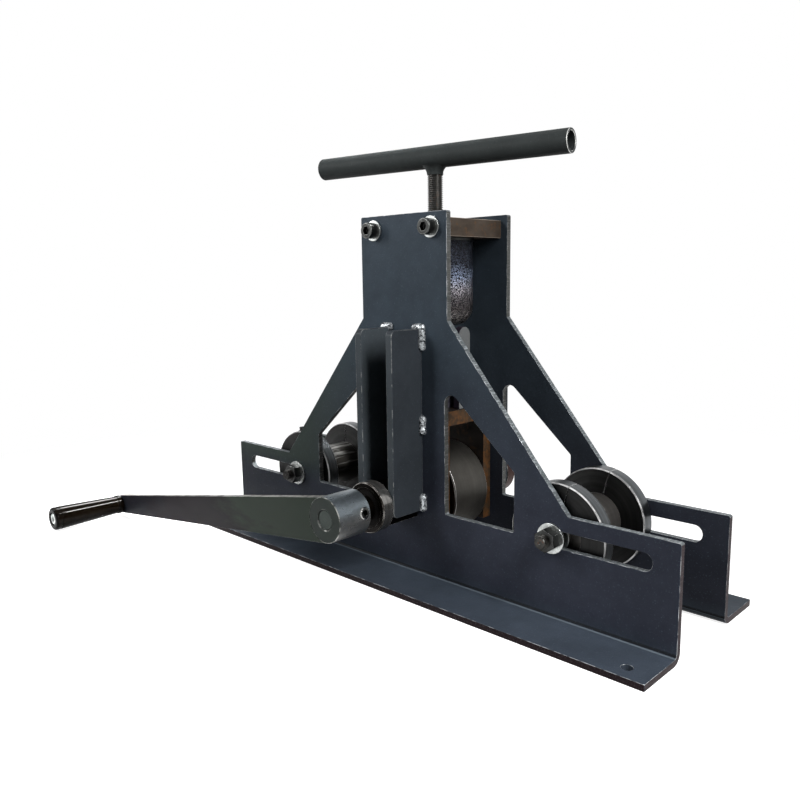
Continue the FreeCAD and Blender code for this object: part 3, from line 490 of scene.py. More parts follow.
# ---- Dust sleeve ----
# A soft bag of crinkled, silvered film hangs round the press screw from a ring under the block.
# It gathers at the bottom.
sleeve_low, sleeve_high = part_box("dust_sleeve")
sleeve_radius = 0.0390
sleeve_neck = 0.0095
sleeve_corner = 0.019
sleeve_floor = sleeve_low.z - 0.0015
corner_steps = 8
ring_hold = 0.006
gather_height = 0.028
fold_depth = 0.0015
dent_depth = 0.0010
film_slack = 0.0004


def closed(shell, distance):
    """Seams and poles merged within a distance, and the faces turned outwards."""
    bmesh.ops.remove_doubles(shell, verts=shell.verts, dist=distance)
    bmesh.ops.recalc_face_normals(shell, faces=shell.faces)


film = bmesh.new()
outline = [Vector((sleeve_neck, 0, sleeve_floor))]
for i in range(corner_steps + 1):
    turn = -pi / 2 + i * pi / 2 / corner_steps
    outline.append(Vector((sleeve_radius - sleeve_corner + sleeve_corner * cos(turn), 0,
                           sleeve_floor + sleeve_corner + sleeve_corner * sin(turn))))
outline.append(Vector((sleeve_radius, 0, sleeve_high.z)))
points = [film.verts.new(point) for point in outline]
edges = [film.edges.new(pair) for pair in zip(points[:-1], points[1:])]
bmesh.ops.subdivide_edges(film, edges=[edges[-1]], cuts=44)
bmesh.ops.subdivide_edges(film, edges=[edges[0]], cuts=12)
bmesh.ops.spin(film, geom=film.verts[:] + film.edges[:], cent=(0, 0, 0), axis=(0, 0, 1),
               dvec=(0, 0, 0), angle=2 * pi, steps=150, use_merge=True)
closed(film, 0.00001)
for point in film.verts:
    spot = point.co
    hold = min(1.0, (sleeve_high.z - spot.z) / ring_hold)
    gather = max(0.0, 1.0 - (spot.z - sleeve_low.z) / gather_height)
    upright_folds = Vector((spot.x * 160, spot.y * 160, spot.z * 30))
    folds = noise.noise(upright_folds) * fold_depth * gather
    dents = noise.noise(spot * 42) * dent_depth
    spot += point.normal * hold * (dents + folds - film_slack)


def silvered_film():
    """Metallised film, crushed into small facets: silvery on the ridges, black in the creases as
    painted shade. Up its height it is painted in bands of painted light and painted reflection.
    """
    material, surface = new_material("crinkled_silvered_film")
    place = object_place(material)
    swirl = add_node(material, "ShaderNodeTexNoise")
    swirl.inputs["Scale"].default_value = 210.0
    join(material, place, swirl.inputs["Vector"])
    shrink = add_node(material, "ShaderNodeVectorMath", operation="SCALE")
    shrink.inputs["Scale"].default_value = 0.004
    join(material, swirl.outputs["Color"], shrink.inputs[0])
    warp = add_node(material, "ShaderNodeVectorMath", operation="ADD")
    join(material, place, warp.inputs[0])
    join(material, shrink.outputs[0], warp.inputs[1])
    cells = add_node(material, "ShaderNodeTexVoronoi", feature="F1")
    cells.inputs["Scale"].default_value = 820.0
    join(material, warp.outputs[0], cells.inputs["Vector"])
    facets = add_ramp(material, cells.outputs["Distance"], [(0.26, 1.0), (0.60, 0.0)])
    above_hem = one_axis(material, object_place(material, centre=(0, 0, sleeve_low.z)), "Z")
    level = share_between(material, above_hem, 0.0, sleeve_high.z - sleeve_low.z)
    # Painted light up the sleeve: bright at the hem, a bright blue-white painted reflection in the
    # middle, and dark towards the top, painted shadow under the block.
    painted_light_bands = add_ramp(material, level,
                      [(0.05, (0.60, 0.56, 0.54)), (0.18, (0.15, 0.13, 0.125)),
                       (0.30, (0.36, 0.33, 0.34)), (0.40, (0.92, 0.87, 0.95)),
                       (0.56, (0.56, 0.68, 0.95)), (0.72, (0.10, 0.12, 0.17)),
                       (1.0, (0.014, 0.017, 0.022))])
    patches = add_noise(material, place, 60.0, 4.0, 0.6)
    shine = add_ramp(material, patches, [(0.34, 0.45), (0.60, 1.0)])
    painted_sheen = mix_colours(material, shine, (0.012, 0.012, 0.014), painted_light_bands)
    join(material, mix_colours(material, facets, (0.008, 0.008, 0.010), painted_sheen), surface["Base Color"])
    join(material, add_bump(material, facets, 0.0007, 0.8), surface["Normal"])
    surface["Metallic"].default_value = 0.9
    surface["Roughness"].default_value = 0.28
    return material


film_piece = new_piece("crinkled_dust_sleeve", film, [silvered_film()], "frame",
                       ["dust_sleeve"])
wall = film_piece.modifiers.new("wall", "SOLIDIFY")
wall.thickness = 0.0004
wall.offset = -1
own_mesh(film_piece)
finished("dust_sleeve_ring", black_oxide)


# ---- Yoke ----
# A top plate on two legs, welded from the same bare flat bar as the top block. It carries the
# centre roller between its legs. The sawn edges are brown with rust, and the wide faces dark.
def sawn_by(axis):
    """1 on the faces that a saw has cut, 0 on the two wide faces across the given axis."""
    return lambda face: 0 if abs(face.normal[axis]) > 0.9 else 1


# Far darker steel for the wide faces of the bars, and for the welds.
darkened_faces = bare_bar("darkened_face_steel", (0.012, 0.010, 0.009), (0.028, 0.023, 0.020),
                      (0.050, 0.028, 0.015))
sawn_steel = bare_bar("rusty_sawn_edge", (0.029, 0.018, 0.010), (0.062, 0.038, 0.021),
                      (0.105, 0.046, 0.016), rusty=0.5)
finished("yoke_top_plate", darkened_faces, sawn_steel, edge=0.0005, choose=sawn_by(2))
finished("yoke_legs", darkened_faces, sawn_steel, edge=0.0005, choose=sawn_by(1))
finished("yoke_welds", darkened_faces, edge=0)
bronze = plain_metal("bearing_bronze", (0.40, 0.26, 0.11), (0.28, 0.42))
finished("yoke_shaft_bushes", bronze)


# ---- Uprights on the yoke ----
# Two flat bars with round tops beside the screw, with a grey coat on their wide faces. They lift
# the sleeve as the carriage rises.
grey_paint = painted("grey_coat", (0.130, 0.136, 0.137), (0.38, 0.5), specular=0.1)
purple_black = painted("dark_bar_edge", (0.020, 0.016, 0.024), (0.4, 0.5))
finished("yoke_uprights", grey_paint, purple_black, edge=0.0006, choose=sawn_by(0))


# ---- Retaining cap of the press screw ----
# A round turned cap in a purple-grey coat, held to the yoke by four small socket screws. The
# screw's collar turns under it on a ball thrust bearing.
cap_paint = painted("purple_grey_coat", (0.060, 0.055, 0.075), (0.35, 0.5), specular=0.3)
finished("screw_retaining_cap", cap_paint)
finished("retaining_cap_screws", black_oxide, edge=0.00015)
race_steel = plain_metal("ground_bearing_steel", (0.60, 0.61, 0.63), (0.12, 0.24), mottle=0.1)
for part in ("thrust_lower_race", "thrust_balls", "thrust_upper_race"):
    finished(part, race_steel, edge=0)
finished("screw_collar_washer", bronze)


# ---- Slide blocks and shaft bearings ----
# A turned flange with a milled body that slides in the channel, and a sealed ball bearing pressed
# into its pocket, front and rear. The front rim is bright from the tool and the rear one brown.
# The face is near black, and the bearing rings in its pocket too, as painted shade.
def turned_metal(name, centre, colour, roughness, groove=0.00002, streak=0.5, metallic=1.0,
                 glint_from=None):
    """Metal turned about an axis along Y: fine rings and bands that follow the tool, and stains.

    Beyond the radius that its last argument gives, it is painted with a narrow bright band,
    a painted highlight along the rim.
    """
    material, surface = new_material(name)
    place = object_place(material, centre=centre)
    flatten = add_node(material, "ShaderNodeVectorMath", operation="MULTIPLY")
    flatten.inputs[1].default_value = (1, 0, 1)
    join(material, place, flatten.inputs[0])
    radius = add_node(material, "ShaderNodeVectorMath", operation="LENGTH")
    join(material, flatten.outputs[0], radius.inputs[0])
    rings = add_node(material, "ShaderNodeCombineXYZ")
    join(material, radius.outputs["Value"], rings.inputs["X"])
    join(material, one_axis(material, place, "Y"), rings.inputs["Y"])
    tool_marks = add_noise(material, rings.outputs[0], 1500.0, 2.0)
    bands = add_noise(material, rings.outputs[0], 260.0, 4.0, 0.7)
    stains = add_noise(material, place, 55.0, 5.0, 0.6)
    dark, light = shades(colour, 1 - streak, 1 + 0.6 * streak)
    face = add_ramp(material, bands, [(0.32, dark), (0.68, light)])
    dull = add_ramp(material, stains, [(0.3, shades(colour, 0.6, 1)[0]), (0.62, colour)])
    blend = add_node(material, "ShaderNodeMix", data_type="RGBA")
    blend.inputs["Factor"].default_value = 0.45
    join(material, face, blend.inputs["A"])
    join(material, dull, blend.inputs["B"])
    tone = blend.outputs["Result"]
    surface["Metallic"].default_value = metallic
    # Painted highlight: a narrow bright band on the face next to the rim.
    if glint_from:
        beyond = share_between(material, radius.outputs["Value"], glint_from, glint_from + 0.0002)
        painted_glint = add_ramp(material, stains, [(0.38, 0.10), (0.62, 0.72)])
        tone = mix_colours(material, beyond, tone, painted_glint)
        glint_metallic = add_ramp(material, beyond, [(0.0, metallic), (1.0, 0.2)])
        join(material, glint_metallic, surface["Metallic"])
    join(material, tone, surface["Base Color"])
    low, high = roughness
    join(material, add_ramp(material, stains, [(0.3, high), (0.7, low)]), surface["Roughness"])
    join(material, add_bump(material, tool_marks, groove, 0.7), surface["Normal"])
    return material


def off_axis(face, centre):
    """How far a face's middle is from an axis along Y."""
    middle = face.calc_center_median()
    return ((middle.x - centre[0]) ** 2 + (middle.z - centre[2]) ** 2) ** 0.5


def rim_beyond(centre, radius):
    """1 on the round outside of a turned piece, 0 on its faces and inside."""
    return lambda face: int(abs(face.normal.y) < 0.3 and off_axis(face, centre) > radius)


shaft_low, shaft_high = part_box("drive_shaft")
shaft_centre = (0, 0, (shaft_low.z + shaft_high.z) / 2)
block_rim_from = 0.025
bright_steel = turned_metal("bright_turned_steel", shaft_centre, (0.25, 0.245, 0.235),
                            (0.12, 0.26), streak=0.8, metallic=0.85)
# Near black on the block's face, the bearing rings, the key and the spacer.
near_black_steel = turned_metal("near_black_turned_steel", shaft_centre, (0.0070, 0.0055, 0.0046),
                            (0.34, 0.5))
dull_steel = turned_metal("brown_turned_steel", shaft_centre, (0.046, 0.025, 0.022), (0.40, 0.55))
block_rub = rubbed("rubbed_block_corner", (0.07, 0.06, 0.05), (0.60, 0.58, 0.55), 0.48)
for part, rim in (("front_slide_block", bright_steel), ("rear_slide_block", dull_steel)):
    finished(part, near_black_steel, rim, edge=0.00015, rub=block_rub,
             choose=rim_beyond(shaft_centre, block_rim_from))
# The bearing rings in the pocket are painted near black: painted shade in the recess.
for part in ("shaft_bearing_outer_rings", "shaft_bearing_inner_rings"):
    finished(part, near_black_steel, edge=0.0001)
finished("shaft_bearing_balls", race_steel, edge=0)
rubber = plain_metal("black_seal_rubber", (0.014, 0.013, 0.013), (0.5, 0.62), metallic=0.0)
finished("shaft_bearing_seals", rubber, edge=0.0001)


# ---- Press screw ----
# A length of M16 rod with a rolled thread, a collar that the cap holds, and a pilot nose in the
# thrust bearing. Right-hand thread of 2 mm pitch, dark with oil and a little rust in its roots.
def lathe(shell, outline, axis, side, cent=Vector((0, 0, 0)), steps=64):
    """Turn an outline of (distance along the axis, radius) points into a closed round solid."""
    points = [shell.verts.new(cent + axis * along + side * radius) for along, radius in outline]
    edges = [shell.edges.new(pair) for pair in zip(points[:-1], points[1:])]
    bmesh.ops.spin(shell, geom=points + edges, cent=cent, axis=axis, dvec=(0, 0, 0), angle=2 * pi,
                   steps=steps, use_merge=True)
    closed(shell, 0.000001)


def thread(shell, start, axis, side, turns, radius, pitch, depth, steps=26):
    """A ridge that climbs a helix round an axis: one turn is swept, then repeated and closed."""
    coil = bmesh.new()
    sunk_root = radius - depth - 0.0004
    half_root, half_crest = 0.44 * pitch, 0.12 * pitch
    profile = [(sunk_root, half_root), (radius, half_crest), (radius, -half_crest),
               (sunk_root, -half_root)]
    points = [coil.verts.new(side * r + axis * h) for r, h in profile]
    edges = [coil.edges.new((points[i], points[(i + 1) % 4])) for i in range(4)]
    bmesh.ops.spin(coil, geom=points + edges, cent=(0, 0, 0), axis=axis, dvec=axis * pitch / steps,
                   angle=2 * pi, steps=steps, use_merge=False)
    first_turn = coil.verts[:] + coil.edges[:] + coil.faces[:]
    for turn in range(1, turns):
        copied = bmesh.ops.duplicate(coil, geom=first_turn)["geom"]
        moved = [item for item in copied if isinstance(item, bmesh.types.BMVert)]
        bmesh.ops.translate(coil, verts=moved, vec=axis * pitch * turn)
    bmesh.ops.remove_doubles(coil, verts=coil.verts, dist=0.000002)
    open_ends = [edge for edge in coil.edges if edge.is_boundary]
    bmesh.ops.holes_fill(coil, edges=open_ends, sides=4)
    bmesh.ops.recalc_face_normals(coil, faces=coil.faces)
    bmesh.ops.translate(coil, verts=coil.verts, vec=start)
    finished_coil = bpy.data.meshes.new("coil")
    coil.to_mesh(finished_coil)
    coil.free()
    shell.from_mesh(finished_coil)
    bpy.data.meshes.remove(finished_coil)


up = Vector((0, 0, 1))
across = Vector((1, 0, 0))
screw_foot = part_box("press_screw")[0].z
screw_radius = 0.008
screw_pitch = 0.002
screw_depth = 0.00115
screw_core = screw_radius - screw_depth
nose_radius = 0.00745
nose_tip_radius = 0.0070
nose_chamfer = 0.0005
collar_radius = 0.014
collar_chamfer = 0.0003
thread_runout = 0.0015
rod_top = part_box("tee_handle_tube")[0].z + 0.0005
collar_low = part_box("thrust_upper_race")[1].z
collar_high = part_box("screw_collar_washer")[0].z
thread_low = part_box("screw_retaining_cap")[1].z - 0.002
screw = bmesh.new()
lathe(screw, [(screw_foot, 0), (screw_foot, nose_tip_radius),
              (screw_foot + nose_chamfer, nose_radius), (collar_low, nose_radius),
              (collar_low, collar_radius - collar_chamfer),
              (collar_low + collar_chamfer, collar_radius),
              (collar_high - collar_chamfer, collar_radius),
              (collar_high, collar_radius - collar_chamfer), (collar_high, screw_radius),
              (thread_low, screw_radius), (thread_low + thread_runout, screw_core),
              (rod_top, screw_core), (rod_top, 0)], up, across)
screw_turns = int((rod_top - thread_low) / screw_pitch) - 1
thread(screw, up * (thread_low + screw_pitch / 2), up, across, screw_turns, screw_radius,
       screw_pitch, screw_depth)


def thread_metal():
    material, surface = new_material("oily_thread_steel")
    stains = add_noise(material, object_place(material), 150.0, 5.0)
    tone = add_ramp(material, stains, [(0.34, (0.018, 0.017, 0.016)), (0.60, (0.046, 0.045, 0.042)),
                                       (0.74, (0.100, 0.050, 0.032))])
    join(material, tone, surface["Base Color"])
    join(material, add_ramp(material, stains, [(0.35, 0.26), (0.65, 0.42)]), surface["Roughness"])
    surface["Metallic"].default_value = 0.9
    return material


thread_steel = thread_metal()
new_piece("threaded_press_screw", screw, [thread_steel], "screw", ["press_screw"])


# ---- Tee handle ----
# A length of tube welded across the top of the screw, with a smooth fillet of weld under it. The
# coat is dull and thin, more neutral in tone than on the plates.
handle_paint = painted("dull_thin_coat", (0.038, 0.043, 0.043), (0.46, 0.58))
tube_rim = rubbed("scuffed_tube_end", (0.07, 0.07, 0.07), (0.60, 0.60, 0.58), 0.44)
finished("tee_handle_tube", handle_paint, edge=0.0005, rub=tube_rim)
fillet_low, fillet_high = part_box("tee_handle_weld")
fillet_foot = fillet_low.z + 0.0004
fillet_toe = screw_radius + 0.0003
fillet_spread = 0.0048
fillet_steps = 7
fillet_outline = [(fillet_low.z, screw_core), (fillet_foot, fillet_toe)]
for i in range(1, fillet_steps + 1):
    share = i / fillet_steps
    fillet_outline.append((fillet_foot + (fillet_high.z - fillet_foot) * share,
                           fillet_toe + fillet_spread * share ** 2.4))
fillet_outline.append((fillet_high.z, screw_core))
fillet = bmesh.new()
lathe(fillet, fillet_outline + [fillet_outline[0]], up, across, steps=48)
for point in fillet.verts:
    if point.co.xy.length > screw_radius:
        point.co += point.normal * noise.noise(point.co * 260) * 0.0005
new_piece("tee_handle_fillet", fillet, [handle_paint], "screw", ["tee_handle_weld"])


# ---- Drive shaft and centre roller ----
# Round bar through both bearings, with a plain turned drum keyed to it. The drum is an even dull
# grey from the lathe, with its faces far darker as painted shade, and its rim edges rubbed bright
# by the work and brightened further as a painted highlight.
roller_rim_from = 0.045
roller_grey = turned_metal("dull_roller_steel", shaft_centre, (0.074, 0.070, 0.063), (0.46, 0.6),
                           streak=0.25)
# Far darker than the rim: painted shade on the drum's flat faces.
shaded_roller_face = turned_metal("painted_shade_roller_face", shaft_centre, (0.030, 0.028, 0.026), (0.36, 0.5))
# Bright rim edges: wear, with a painted highlight on top.
rubbed_and_highlit_rim = plain_metal("rubbed_highlit_roller_rim", (0.30, 0.29, 0.28), (0.26, 0.36))
finished("centre_roller", shaded_roller_face, roller_grey, edge=0.0004, rub=rubbed_and_highlit_rim,
         choose=rim_beyond(shaft_centre, roller_rim_from))
shaft_steel = turned_metal("dark_shaft_steel", shaft_centre, (0.037, 0.045, 0.041), (0.3, 0.45))
finished("drive_shaft", shaft_steel, edge=0.0002)
for part in ("roller_key", "shaft_spacer"):
    finished(part, near_black_steel, edge=0.0002)
finished("roller_thrust_washers", bronze, edge=0.0002)
finished("rear_shaft_circlip", black_oxide, edge=0.0001)


# ---- Crank ----
# A tapered flat arm welded to a thick hub, which a grub screw clamps to the shaft. The coat is
# worn through on the hub's side, which is burnished, and it is mottled along the arm.
def add_share(material, value, share, base):
    """A share of a pattern on top of a base, so that a border on it wanders."""
    return calculate(material, "MULTIPLY_ADD", value, share, base)


def burnished_with_painted_light(name, high, middle, low, roughness):
    """Bare steel with a finer grain of smudges, painted in bands up its height: bluish painted
    reflection at the top, a band of painted highlight below it, and brown painted reflection below.
    """
    material, surface = new_material(name)
    smudges = add_noise(material, object_place(material, stretch=(1.0, 0.6, 1.0)), 130.0, 7.0, 0.72)
    height = one_axis(material, object_place(material, centre=shaft_centre), "Z")
    level = share_between(material, add_share(material, smudges, 0.010, height), -0.018, 0.027)
    tone = add_ramp(material, level, [(0.05, low), (0.24, middle), (0.46, middle), (0.70, high)])
    grain = add_ramp(material, smudges, [(0.36, 0.35), (0.60, 1.0)])
    dark = shades(high, 0.45, 1.0)[0]
    join(material, mix_colours(material, grain, dark, tone), surface["Base Color"])
    least, most = roughness
    join(material, add_ramp(material, smudges, [(0.3, most), (0.7, least)]), surface["Roughness"])
    join(material, add_bump(material, smudges, 0.00012, 0.5), surface["Normal"])
    surface["Metallic"].default_value = 0.85
    return material


def mottled_coat():
    """A thin coat, blue-black at the grip, purple in the middle and grey-green at the hub."""
    material, surface = new_material("mottled_crank_coat")
    place = object_place(material)
    along = share_between(material, one_axis(material, place, "X"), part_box("crank_arm")[0].x, 0.0,
                          most=0.7)
    patches = add_noise(material, object_place(material, stretch=(0.5, 1.0, 1.6)), 24.0, 5.0, 0.6)
    tone = add_ramp(material, add_share(material, patches, 0.5, along),
                    [(0.30, (0.018, 0.020, 0.026)), (0.46, (0.018, 0.014, 0.018)),
                     (0.67, (0.018, 0.016, 0.018)), (0.75, (0.038, 0.049, 0.039))])
    join(material, tone, surface["Base Color"])
    join(material, add_ramp(material, patches, [(0.3, 0.36), (0.7, 0.5)]), surface["Roughness"])
    grain = add_noise(material, place, 420.0, 3.0)
    join(material, add_bump(material, grain, 0.00005, 0.6), surface["Normal"])
    surface["Specular IOR Level"].default_value = 0.06
    return material


hub_rim_from = 0.0215
grub_axis = Vector((0.9833, 0, 0.1822))
grub_socket = 0.0037


def hub_faces(face):
    """1 on the hub's round side, 2 on the cones at its rim and its bore, 0 on its flat ends."""
    if abs(face.normal.y) > 0.97:
        return 0
    return 1 if abs(face.normal.y) < 0.3 and off_axis(face, shaft_centre) > hub_rim_from else 2


def within(node, axis, radius):
    """1 on a face whose corners all lie within a radius of the node's own axis, 0 elsewhere."""
    low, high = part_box(node)
    middle = (low + high) / 2
    return lambda face: int(all((corner.co - middle).cross(axis).length < radius
                                for corner in face.verts))


crank_coat = mottled_coat()
hub_coat = painted("grey_green_hub_face", (0.033, 0.041, 0.037), (0.36, 0.48), specular=0.08)
crank_rub = rubbed("rubbed_crank_corner", (0.060, 0.062, 0.060), (0.40, 0.41, 0.39), 0.44)
crank_top = rubbed("rubbed_arm_top", (0.080, 0.077, 0.074), (0.24, 0.23, 0.215), 0.48)
hub_rub = rubbed("bright_hub_chamfer", (0.050, 0.056, 0.052), (0.42, 0.42, 0.40))
# The hub's side: painted reflection and painted highlight in bands up its height.
hub_side = burnished_with_painted_light("burnished_hub_painted_light", (0.230, 0.266, 0.292), (0.33, 0.32, 0.305),
                     (0.026, 0.020, 0.015), (0.22, 0.40))
grub_steel = plain_metal("bright_grub_screw", (0.34, 0.34, 0.33), (0.16, 0.28), mottle=0.45)
finished("crank_hub", hub_coat, hub_side, rub=hub_rub, choose=hub_faces)
finished("crank_arm", crank_coat, crank_top, edge=0.0007, rub=crank_rub,
         choose=lambda face: int(face.normal.z > 0.5))
finished("crank_weld", crank_rub, edge=0)
# The socket is painted black: painted shade in the recess.
finished("hub_grub_screw", grub_steel, black_oxide, edge=0.0002,
         choose=within("hub_grub_screw", grub_axis, grub_socket))


# ---- Grip ----
# A moulded handle in glossy black plastic that turns on a shoulder screw. The screw's bright
# head sits in a recess in its outer end.
def gloss_plastic():
    material, surface = new_material("glossy_black_plastic")
    bloom = add_noise(material, object_place(material), 120.0, 4.0)
    tone = add_ramp(material, bloom, [(0.35, (0.0030, 0.0018, 0.0010)),
                                      (0.65, (0.0065, 0.0045, 0.0030))])
    join(material, tone, surface["Base Color"])
    join(material, add_ramp(material, bloom, [(0.3, 0.07), (0.7, 0.12)]), surface["Roughness"])
    ripple = add_noise(material, object_place(material, stretch=(1.0, 0.2, 1.0)), 90.0, 1.0)
    join(material, add_bump(material, ripple, 0.00010, 0.5), surface["Normal"])
    surface["Specular IOR Level"].default_value = 0.045
    return material


along_y = Vector((0, 1, 0))
spindle_socket = 0.0032
# The socket in the head is painted black: painted shade in the recess.
finished("handle_spindle", zinc, black_oxide, edge=0.0002,
         choose=within("handle_spindle", along_y, spindle_socket))
finished("handle_grip", gloss_plastic(), edge=0)


# ---- Side rollers ----
# On each side a drum turns on an axle between the plates, with two split discs clamped on it by
# set screws. The axle's threaded ends take a nut and a washer outside the plates.
def streak_highlit_steel(name, centre):
    """Greasy dark steel, with short bright strokes along its length on its upper side as painted
    highlights, and darker below it as painted shade.
    """
    material, surface = new_material(name)
    smears = add_noise(material, object_place(material, stretch=(1.0, 0.10, 1.0)), 150.0, 3.0, 0.6)
    height = one_axis(material, object_place(material, centre=centre), "Z")
    # Painted light: darker below as painted shade, highlight strokes above.
    level = share_between(material, height, -0.005, 0.025)
    highlight_streaks = add_ramp(material, smears,
                       [(0.50, (0.045, 0.042, 0.038)), (0.60, (0.46, 0.46, 0.44))])
    tone = mix_colours(material, level, (0.016, 0.015, 0.012), highlight_streaks)
    join(material, tone, surface["Base Color"])
    surface["Metallic"].default_value = 0.9
    surface["Roughness"].default_value = 0.3
    return material


stud_radius = 0.006
stud_pitch = 0.00175
stud_depth = 0.0009
stud_core = stud_radius - stud_depth
stud_chamfer = 0.0012
stud_centre_hole = 0.0014
lip_back, lip_rise = 0.0007, 0.0004
stud_starts = (0.0008, 0.0016)
plain_radius = 0.0075
washer_thickness = 0.00125
disc_rim_from = 0.046
disc_glint_width = 0.0012
# Near white on the discs' broken edges: polish, and a painted highlight line on them.
polished_highlight_edge = plain_metal("polished_corner_highlight", (0.92, 0.92, 0.92), (0.16, 0.26), metallic=0.2)
nut_rub = plain_metal("rubbed_nut_corner", (0.40, 0.41, 0.41), (0.20, 0.32))
for name in ("left", "right"):
    axle_low, axle_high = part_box(name + "_axle")
    centre = ((axle_low.x + axle_high.x) / 2, 0, (axle_low.z + axle_high.z) / 2)
    disc_rim = turned_metal(name + "_disc_rim", centre, (0.100, 0.108, 0.114), (0.26, 0.38),
                            streak=0.7)
    if name == "left":
        drum_steel = streak_highlit_steel("highlight_streaked_drum_steel", centre)
    else:
        drum_steel = turned_metal("brown_drum_steel", centre, (0.074, 0.069, 0.065), (0.34, 0.46),
                                  metallic=0.6)
    finished(name + "_roller_drum", drum_steel)
    for part, tone in (("_front_disc", 0.020), ("_rear_disc", 0.036)):
        disc_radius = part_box(name + part)[1].z - centre[2]
        disc_face = turned_metal(name + part + "_face", centre, (tone, tone, tone), (0.32, 0.46),
                                 groove=0.00003, glint_from=disc_radius - disc_glint_width)
        finished(name + part, disc_face, disc_rim, edge=0.0006, rub=polished_highlight_edge,
                 choose=rim_beyond(centre, disc_rim_from))
    finished(name + "_disc_screws", black_oxide, edge=0.0002)
    finished(name + "_roller_bushes", bronze, edge=0.0002)
    finished(name + "_axle_nuts", black_oxide, rub=nut_rub)
    finished(name + "_axle_washers", zinc)
    finished(name + "_axle_spacers", bright_steel, edge=0.0002)

    half = axle_high.y
    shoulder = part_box(name + "_axle_washers")[1].y - washer_thickness
    half_outline = [(half - stud_chamfer, 0), (half, stud_centre_hole), (half, stud_core),
                    (half - lip_back, stud_core + lip_rise), (half - stud_chamfer, stud_core),
                    (shoulder, stud_core), (shoulder, plain_radius)]
    other_half = [(-along, radius) for along, radius in reversed(half_outline)]
    centre_point = Vector(centre)
    axle = bmesh.new()
    lathe(axle, half_outline + other_half, along_y, across, cent=centre_point, steps=48)
    stud_turns = int((half - shoulder) / stud_pitch) - 1
    for start in (shoulder + stud_starts[0], -half + stud_starts[1]):
        thread(axle, centre_point + along_y * start, along_y, across, stud_turns, stud_radius,
               stud_pitch, stud_depth)
    new_piece("threaded_" + name + "_axle", axle, [thread_steel], name + "_axle_set",
              [name + "_axle"])


# ---- Studio ----
# A white sweep that is seen as pure white, with a soft shadow near the roller. Soft lamps stand
# to the right and the left, with small ones on the tower, the right foot and the grip.
floor_tone = 0.60
floor_bounce = 0.20
floor_glow = 0.84
fade_start = 0.55
fade_end = 0.95
floor_half = 8.0
dim_world = 0.04


def seen_directly(owner):
    """1 for camera, glossy and transmission rays, which meet the white background; 0 for others."""
    rays = add_node(owner, "ShaderNodeLightPath").outputs
    either = calculate(owner, "MAXIMUM", rays["Is Camera Ray"], rays["Is Glossy Ray"])
    return calculate(owner, "MAXIMUM", either, rays["Is Transmission Ray"])


def white_floor():
    """Pale ground that takes the shadow, and turns to plain white further out."""
    material = bpy.data.materials.new("white_floor")
    material.use_nodes = True
    material.node_tree.nodes.clear()
    seen = seen_directly(material)
    plain = add_node(material, "ShaderNodeBsdfDiffuse")
    tone = add_ramp(material, seen, [(0.0, floor_bounce), (1.0, floor_tone)])
    join(material, tone, plain.inputs["Color"])
    glow = add_node(material, "ShaderNodeEmission")
    join(material, calculate(material, "MULTIPLY", seen, floor_glow), glow.inputs["Strength"])
    near = add_node(material, "ShaderNodeAddShader")
    join(material, plain.outputs[0], near.inputs[0])
    join(material, glow.outputs[0], near.inputs[1])
    white = add_node(material, "ShaderNodeEmission")
    distance = add_node(material, "ShaderNodeVectorMath", operation="LENGTH")
    join(material, object_place(material), distance.inputs[0])
    fade = add_node(material, "ShaderNodeMapRange", interpolation_type="SMOOTHSTEP")
    fade.inputs["From Min"].default_value = fade_start
    fade.inputs["From Max"].default_value = fade_end
    join(material, distance.outputs["Value"], fade.inputs["Value"])
    share = calculate(material, "MULTIPLY", fade.outputs["Result"], seen)
    both = add_node(material, "ShaderNodeMixShader")
    join(material, share, both.inputs["Fac"])
    join(material, near.outputs[0], both.inputs[1])
    join(material, white.outputs[0], both.inputs[2])
    output = add_node(material, "ShaderNodeOutputMaterial")
    join(material, both.outputs[0], output.inputs["Surface"])
    return material


floor_shell = bmesh.new()
bmesh.ops.create_grid(floor_shell, x_segments=1, y_segments=1, size=floor_half)
floor_mesh = bpy.data.meshes.new("floor")
floor_shell.to_mesh(floor_mesh)
floor_shell.free()
floor_mesh.materials.append(white_floor())
floor = bpy.data.objects.new("floor", floor_mesh)
bpy.context.scene.collection.objects.link(floor)

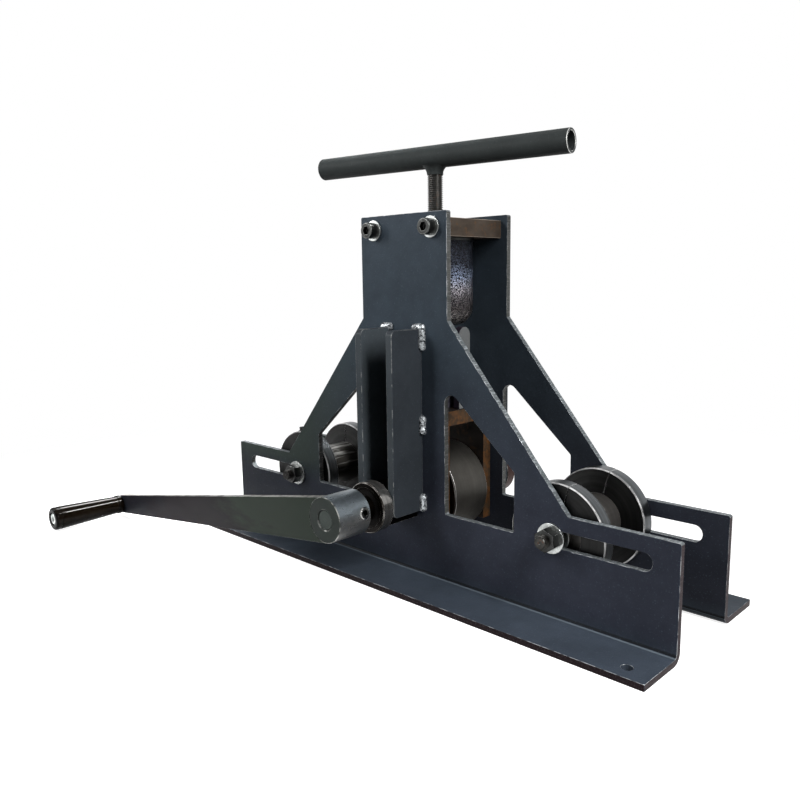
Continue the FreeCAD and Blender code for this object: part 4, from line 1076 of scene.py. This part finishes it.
world = bpy.data.worlds.new("studio")
bpy.context.scene.world = world
world.use_nodes = True
level = add_node(world, "ShaderNodeMapRange")
level.inputs["To Min"].default_value = dim_world
join(world, seen_directly(world), level.inputs["Value"])
background = world.node_tree.nodes["Background"]
background.inputs["Color"].default_value = (1, 1, 1, 1)
join(world, level.outputs["Result"], background.inputs["Strength"])


def soft_lamp(name, place, target, width, height, power, spread=180):
    """A flat lamp at a place, turned to a target; spread narrows its beam, in degrees."""
    lamp = bpy.data.lights.new(name, "AREA")
    lamp.shape = "RECTANGLE"
    lamp.size = width
    lamp.size_y = height
    lamp.energy = power
    lamp.spread = radians(spread)
    holder = bpy.data.objects.new(name, lamp)
    holder.location = place
    holder.rotation_euler = (Vector(target) - Vector(place)).to_track_quat("-Z", "Y").to_euler()
    bpy.context.scene.collection.objects.link(holder)


grip_side = (-0.414, -0.2, 0.02)
soft_lamp("right_softbox", (1.3, -0.2, 0.9), (0.1, 0, 0.15), 0.5, 0.7, 16)
soft_lamp("left_strip", (-1.1, -0.9, 0.9), (-0.2, -0.1, 0.1), 0.25, 0.9, 10)
soft_lamp("tower_lamp", (-0.55, -1.35, 0.9), (0.0, 0, 0.42), 0.3, 0.5, 0.7, spread=45)
soft_lamp("right_foot_lamp", (0.95, -0.25, 1.0), (0.28, -0.05, 0.0), 0.3, 0.3, 1.0, spread=60)
soft_lamp("high_strip", (0.16, 0.39, 1.02), grip_side, 0.4, 0.06, 0.8, spread=25)
soft_lamp("back_softbox", (-0.95, 0.30, 0.97), grip_side, 0.3, 0.3, 0.4, spread=25)

camera_place = Vector((0.5476, -0.61846, 0.3104))
camera_turn = radians(44.279)
camera_tilt = radians(90 - 8.929)
camera_roll = radians(-0.83)
camera_data = bpy.data.cameras.new("camera")
camera_data.sensor_width = 36.0
camera_data.lens = 34.758
camera_data.clip_start = 0.01
camera = bpy.data.objects.new("camera", camera_data)
camera.matrix_world = (Matrix.Translation(camera_place) @ Matrix.Rotation(camera_turn, 4, "Z")
                       @ Matrix.Rotation(camera_tilt, 4, "X")
                       @ Matrix.Rotation(camera_roll, 4, "Z"))
bpy.context.scene.collection.objects.link(camera)
bpy.context.scene.camera = camera
bpy.context.scene.view_settings.view_transform = "Standard"
